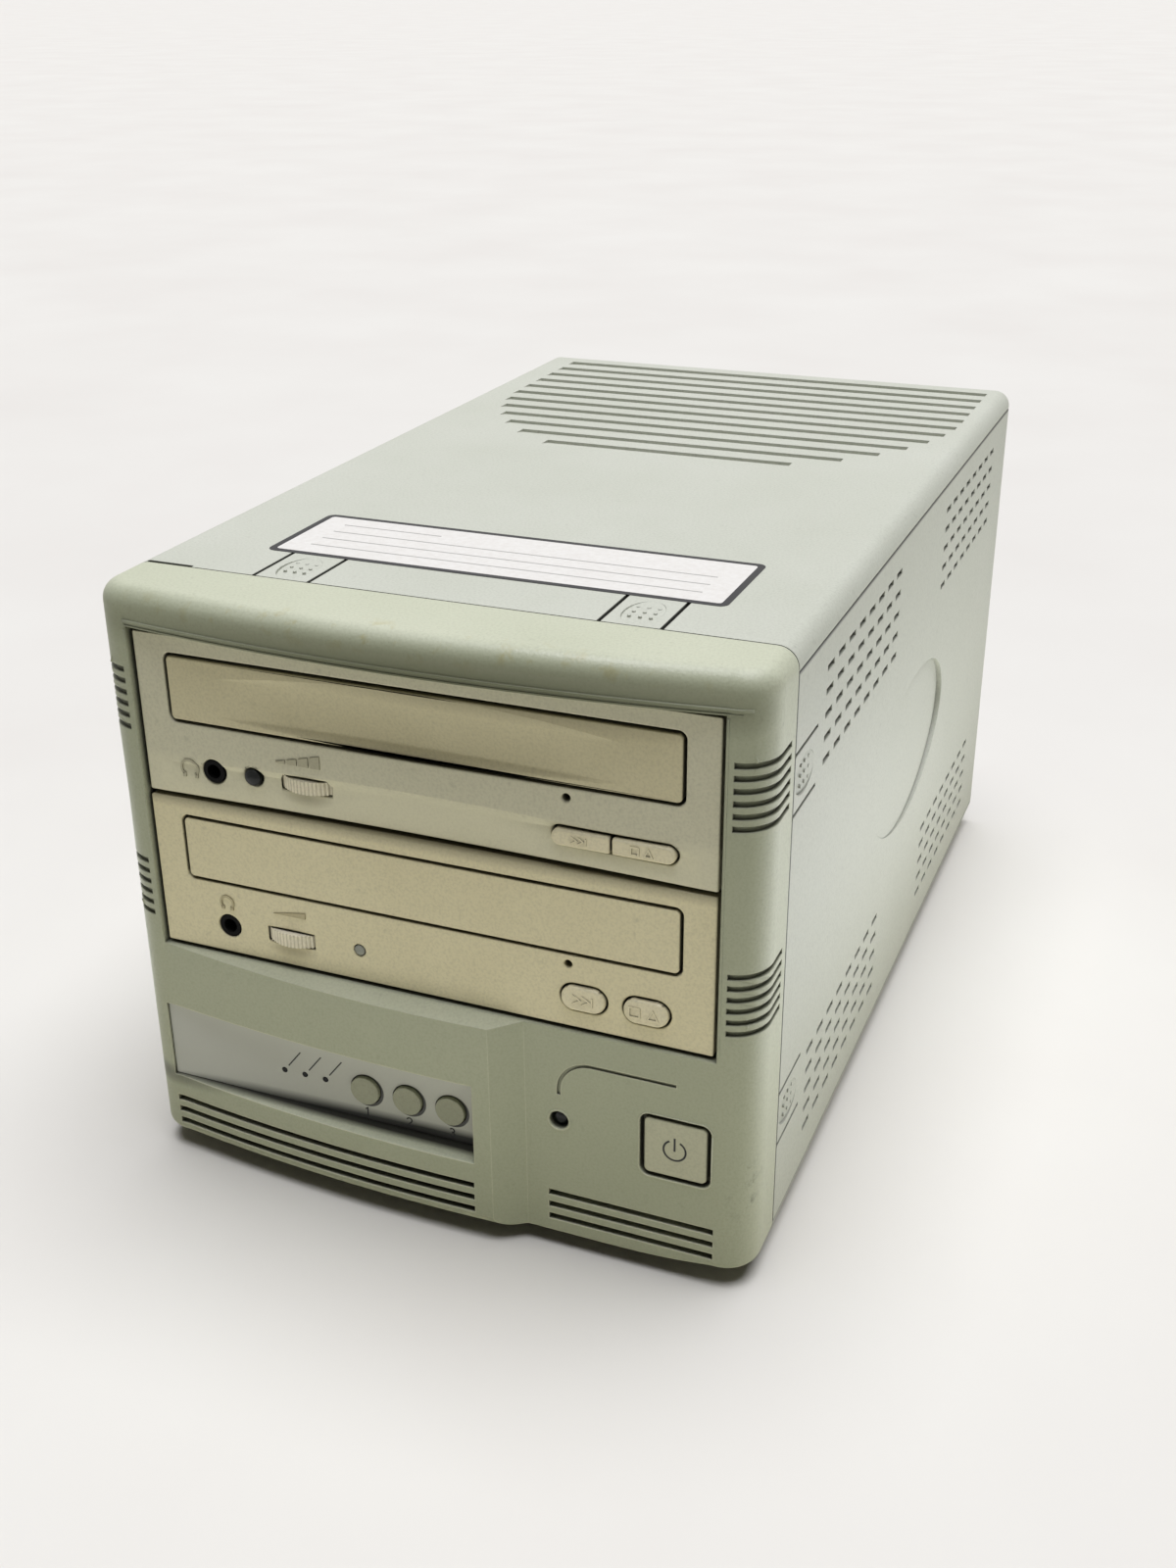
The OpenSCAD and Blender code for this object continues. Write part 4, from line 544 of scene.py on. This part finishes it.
def dome(name, x, z, base, radius, rise, material):
    made = bmesh.new()
    around = [math.tau * k / DOME_SIDES for k in range(DOME_SIDES)]
    rings = []
    for i in range(DOME_STEPS):
        turn = math.pi / 2 * i / DOME_STEPS
        wide, y = radius * math.cos(turn), base - rise * math.sin(turn)
        ring = [Vector((x + wide * math.cos(t), y, z + wide * math.sin(t))) * MM for t in around]
        rings.append([made.verts.new(point) for point in ring])
    tip = made.verts.new(Vector((x, base - rise, z)) * MM)
    join_rings(made, rings)
    for k in range(DOME_SIDES):
        made.faces.new((rings[-1][k], rings[-1][k - 1], tip))
    made.faces.new(rings[0])
    for face in made.faces:
        face.smooth = len(face.verts) < 5
    fix_piece(name, made, material, "case")


socket_plastic = dark_plastic("socket_plastic", "#040404", "#0B0B0A", 0.5)
socket_plastic.node_tree.nodes["Principled BSDF"].inputs["Specular IOR Level"].default_value = 0.06
dark_lens = lens("dark_lens", "#060A08", "#0D1310", 0.06)
grey_lens = lens("grey_lens", "#8E9088", "#9DA098", 0.22)
dome("upper_lamp_dome", -43.9, UPPER_FOOT + 8.0, FACE + 0.22, 2.25, 1.0, dark_lens)
dome("lower_lamp_dome", -17.75, LOWER_FOOT + 8.5, FACE + 0.22, 1.35, 0.45, grey_lens)
for bay, x, y in WHEEL_POSTS:
    wheel = moulded_plastic(f"{bay}_wheel_plastic", "#F0EAD6", "#E8E1CA", 0.5, reach=0.8)
    wheel_plastic, tree, shader, place, toned = wheel
    off = put(tree, "VectorMath", {0: place, 1: (x * MM, y * MM, 0)}, operation="SUBTRACT").outputs[0]
    off = put(tree, "VectorMath", {0: off, 1: (1, 1, 0)}, operation="MULTIPLY").outputs[0]
    across = axes(tree, off)
    turn = both(tree, across["Y"], across["X"], "ARCTAN2")
    ridge = put(tree, "Math", {0: both(tree, turn, WHEEL_RIDGES)}, operation="COSINE").outputs[0]
    far = put(tree, "VectorMath", {0: off}, operation="LENGTH").outputs["Value"]
    # The knurl grooves round the rim are darkened as painted shade.
    groove_shade = both(tree, span(tree, ridge, 0.1, -0.9, 0, 0.32), fade(tree, far, *WHEEL_RIM))
    recolour(tree, shader, blend(tree, groove_shade, toned, paint("#6E6549")))
    dress(f"{bay}_volume_wheel", wheel_plastic)
    dress(f"{bay}_headphone_jack", socket_plastic, 0.15)
dress("upper_drive_lamp", dark_lens)
dress("lower_drive_lamp", grey_lens)

# Skip and eject buttons
# Pale moulded caps, crowned and rounded all round, that come through the drive faces.
# Skip shows two arrows and a bar; eject shows a square and an upright arrow, in low relief.
SIGN_LINE = 0.36
BUTTONS = (("lower", "skip", 41.8, LOWER_FOOT + 8.3, 2.5), ("lower", "eject", 57.5, LOWER_FOOT + 8.3, 2.5),
           ("upper", "skip", 41.2, UPPER_FOOT + 7.2, 1.8), ("upper", "eject", 56.6, UPPER_FOOT + 7.2, 1.8))


def skip_sign(cx, cz, high):
    wide = high * 0.8
    low, top = cz - high / 2, cz + high / 2
    lines = []
    for i in range(2):
        left = cx - 1.25 * wide + i * wide * 1.15
        lines += stroke([(left, top), (left + wide, cz), (left, low)], SIGN_LINE)
    bar = cx + 1.25 * wide
    return lines + stroke([(bar, top), (bar, low)], SIGN_LINE)


def eject_sign(cx, cz, high):
    half = high / 2
    left, tip = cx - 1.05 * high, cx + 0.75 * high
    box = [(left + u * half, cz + v * half) for u, v in ((-1, -1), (1, -1), (1, 1), (-1, 1))]
    arrow = [(tip - half, cz - half), (tip + half, cz - half), (tip, cz + half)]
    return stroke(box, SIGN_LINE, True) + stroke(arrow, SIGN_LINE, True)


button_plastic = moulded_plastic("button_plastic", "#E8E0C2", "#DFD6B6", 0.42)[0]
for bay, kind, x, z, high in BUTTONS:
    button = f"{bay}_{kind}_button"
    dress(button, button_plastic, 0.7)
    sign = skip_sign(x, z, high) if kind == "skip" else eject_sign(x, z, high)
    mark(f"{bay}_{kind}_sign", button, sign, 0.25, button_plastic, f"{bay}_{kind}_body")

# Control overlay and its keys
# A printed grey film behind the window, with painted shade black along its foot and in a ring round each
# key.
# Three domed keys come through it, with three tiny lamps; numbers and lead lines are plain print.
FILM_ENDS = (-77, 16)
KEY_XS = [-18.6, -6.5, 5.6]
KEY_HEIGHT, FIGURE_HEIGHT = 33.45, 26.8
LEAD_XS = [-42.6, -36.55, -30.5]
PRINT_PROUD, PRINT_SINK = 0.03, 0.02
SHADE_BLACK = paint("#0A0A09")
overlay_film, tree, shader, place = fresh_material("overlay_film")
grey = blend(tree, fade(tree, axes(tree, place)["X"], *FILM_ENDS), paint("#B6B8B1"), paint("#BEC0B9"))
grey = blend(tree, span(tree, noise(tree, place, 900, 2), 0.45, 0.75, 0, 0.25), grey, paint("#B4B4B0"))
# Crevices found by occlusion are darkened as painted shade.
for reach, share in ((1.5, 0.9), (12, 0.75)):
    grey = blend(tree, span(tree, crevice(tree, reach), 0.15, 0.6, share, 0), grey, paint("#1C1C1B"))
# The film's foot is painted near black as painted shadow.
foot_shadow = near(tree, place, (18, FACE, 23.6), (120, 6, 6))
grey = blend(tree, span(tree, foot_shadow, 0.2, 0.68, 0, 0.97), grey, SHADE_BLACK)
# A thin near-black ring round each key is painted shadow.
for x in KEY_XS:
    key_ring_shadow = near(tree, place, (x + 0.3, FACE - 0.2, KEY_HEIGHT), (20, 20, 20))
    grey = blend(tree, span(tree, key_ring_shadow, 0.948, 0.956, 0, 0.92), grey, SHADE_BLACK)
coat(tree, shader, grey, span(tree, noise(tree, place, 60, 4), 0.3, 0.7, 0.34, 0.46))
emboss(tree, shader, noise(tree, place, 2200, 2), 0.06, 0.1)
dress("control_overlay", overlay_film)
key_plastic = moulded_plastic("key_plastic", "#A0A28D", "#979A83", 0.42)[0]
for name in ("mode_button", "speed_button", "run_button"):
    dress(name, key_plastic, 0.25)
dress("status_leds", dark_lens)
dark_ink = dark_plastic("dark_ink", "#141416", "#1C1C20", 0.6)
one = [(-0.5, 0.75), (0.1, 1.25), (0.1, -1.25)]
two = arc(0, 0.55, 0.7, 165, -45, 10) + [(-0.75, -1.2), (0.8, -1.2)]
three = arc(0, 0.62, 0.62, 150, -80, 9) + arc(0, -0.58, 0.68, 80, -150, 9)
print_lines = []
for x, figure in zip(KEY_XS, (one, two, three)):
    print_lines += stroke([(x + u, FIGURE_HEIGHT + v) for u, v in figure], 0.4)
for x in LEAD_XS:
    print_lines += stroke([(x + 1.3, 35.3), (x + 5.2, 40.3)], 0.35)
mark("overlay_print", "control_overlay", print_lines, PRINT_PROUD, dark_ink, "case",
     sink=PRINT_SINK)

# Power key and lamp
# A square spring-backed key, a shade browner than the case, with a standby sign printed on it.
# The lamp beside it is a dark round lens set back in its hole.
SIGN_X, SIGN_RADIUS, SIGN_WIDE = 65.3, 2.8, 0.5
power_plastic = moulded_plastic("power_key_plastic", "#BEBEA6", "#B6B69D", 0.46)[0]
dress("power_button", power_plastic, 0.6)
dress("power_switch", black_plastic)
dress("power_led", dark_lens)
dome("power_lamp_dome", *POWER_LAMP, FACE + 0.92, 2.2, 1.2, dark_lens)
sign = stroke(arc(SIGN_X, POWER_KEY[1], SIGN_RADIUS, 118, 422, 40), SIGN_WIDE)
sign += stroke([(SIGN_X, POWER_KEY[1] - 0.2), (SIGN_X, POWER_KEY[1] + 3.6)], SIGN_WIDE)
mark("power_sign", "power_button", sign, PRINT_PROUD, dark_ink, "power_key_body",
     sink=PRINT_SINK)

# Label on the top cover
# A white paper sticker with a black printed border and faint ruled lines, stuck across the cover.
# It is left blank, and its corners are rounded.
LABEL_LEFT, LABEL_FRONT, LABEL_RIGHT, LABEL_REAR = -58.4, -99.5, 62.4, -66.9
BORDER = 1.8
PAPER = 0.1
RULE_LEFT, RULE_PITCH = -50, 5.8
RULE_ENDS = (-22, 54, 54, 54)


def round_box(inset, radius, steps=6):
    left, right = LABEL_LEFT + inset + radius, LABEL_RIGHT - inset - radius
    low, high = LABEL_FRONT + inset + radius, LABEL_REAR - inset - radius
    corners = ((right, high, 0), (left, high, 90), (left, low, 180), (right, low, 270))
    return [p for cx, cy, start in corners for p in arc(cx, cy, radius, start, start + 90, steps)]


label_paper, tree, shader, place = fresh_material("label_paper")
fibre = noise(tree, place, 700, 4)
white = blend(tree, span(tree, fibre, 0.35, 0.7, 0, 1), paint("#DCDAD5"), paint("#D5D2CC"))
coat(tree, shader, white, span(tree, fibre, 0.3, 0.7, 0.42, 0.55))
emboss(tree, shader, fibre, 0.06, 0.1)
pale_ink = dark_plastic("pale_ink", "#9B9A96", "#A6A5A0", 0.6)
edge = round_box(0, 2.2)
inside = round_box(BORDER, 1.0)
border = [(edge[i - 1], edge[i], inside[i], inside[i - 1]) for i in range(len(edge))]
rules = []
for i, end in enumerate(RULE_ENDS):
    y = -74.4 - RULE_PITCH * i
    rules += stroke([(RULE_LEFT, y), (end, y)], 0.45)
mark("label_border", "top_cover", border, PAPER, dark_ink, "case", "top", PRINT_SINK)
mark("label_paper", "top_cover", [inside], PAPER, label_paper, "case", "top", PRINT_SINK)
mark("label_rules", "top_cover", rules, PAPER + PRINT_PROUD, pale_ink, "case", "top", 0.0)

# Floor, light and camera
# A pale paper floor under a broad overhead lamp, with weak cards on the floor in front and at both sides.
# The front stays in soft shade and is lit from the bright paper, as in the photograph.
FLOOR_HALF = 40.0
CARD_HEIGHT = 0.003
CAMERA_SPOT = Vector((173.7, -456.0, 294.0)) * MM
CAMERA_AIM = Vector((-61.2, 119.5, 0.0)) * MM
CAMERA_ROLL = -0.4


def shown_ray(tree):
    ray = put(tree, "LightPath").outputs
    direct = both(tree, ray["Is Camera Ray"], ray["Is Glossy Ray"], "MAXIMUM")
    return both(tree, direct, ray["Is Transmission Ray"], "MAXIMUM")


floor_mesh = bpy.data.meshes.new("floor")
corners = [(x * FLOOR_HALF, y * FLOOR_HALF, 0) for x, y in ((-1, -1), (1, -1), (1, 1), (-1, 1))]
floor_mesh.from_pydata(corners, [], [(0, 1, 2, 3)])
floor = bpy.data.objects.new("floor", floor_mesh)
bpy.context.collection.objects.link(floor)
floor_paper, tree, shader, place = fresh_material("floor_paper")
cloud = span(tree, noise(tree, place, 6, 4), 0.3, 0.7, 0, 1)
seen = blend(tree, cloud, paint("#D8D6D0"), paint("#D4D1CB"))
close = near(tree, place, (0, 0, 0), (600, 650, 600))
bounce = blend(tree, close, paint("#606058"), paint("#E6E2CC"))
recolour(tree, shader, blend(tree, shown_ray(tree), bounce, seen))
shader.inputs["Roughness"].default_value = 0.8
floor_mesh.materials.append(floor_paper)


def hang(name, lamp, aim):
    holder = bpy.data.objects.new(name, lamp)
    bpy.context.collection.objects.link(holder)
    holder.rotation_euler = Vector(aim).to_track_quat("-Z", "Y").to_euler()
    return holder


def floor_card(name, x, y, size, power, colour):
    lamp = bpy.data.lights.new(name, "AREA")
    lamp.shape = "RECTANGLE"
    lamp.size, lamp.size_y = size
    lamp.energy = power
    lamp.color = colour
    holder = hang(name, lamp, (0, 0, 1))
    holder.location = (x, y, CARD_HEIGHT)
    holder.visible_camera = False


over_light = bpy.data.lights.new("over_light", "SUN")
over_light.energy = 4.0
over_light.angle = math.radians(48)
over_light.color = (0.95, 0.955, 1.0)
hang("over_light", over_light, (-0.08, -0.05, -1.0))
floor_card("right_card", 0.25, 0.03, (0.2, 0.32), 0.47, (0.91, 0.945, 1.0))
floor_card("left_card", -0.25, 0.02, (0.2, 0.32), 0.22, (0.96, 0.97, 1.0))
floor_card("front_card", 0.0, -0.34, (0.5, 0.3), 0.27, (1.0, 0.98, 0.9))
world = bpy.data.worlds.new("studio")
bpy.context.scene.world = world
world.use_nodes = True
tree = world.node_tree
tree.nodes.clear()
dim = put(tree, "Background", {"Color": (1.0, 0.95, 0.75, 1), "Strength": 0.04})
pale = put(tree, "Background", {"Color": paint("#F1EFEB"), "Strength": 1.0})
mixed = put(tree, "MixShader", {0: shown_ray(tree), 1: dim.outputs[0], 2: pale.outputs[0]})
put(tree, "OutputWorld", {"Surface": mixed.outputs[0]})

camera_data = bpy.data.cameras.new("camera")
camera_data.lens = 39.81
camera_data.sensor_width = 36
camera = bpy.data.objects.new("camera", camera_data)
bpy.context.collection.objects.link(camera)
camera.location = CAMERA_SPOT
look = (CAMERA_AIM - CAMERA_SPOT).to_track_quat("-Z", "Y")
camera.rotation_euler = (look @ Quaternion((0, 0, 1), math.radians(CAMERA_ROLL))).to_euler()
bpy.context.scene.camera = camera
bpy.context.scene.view_settings.view_transform = "Standard"
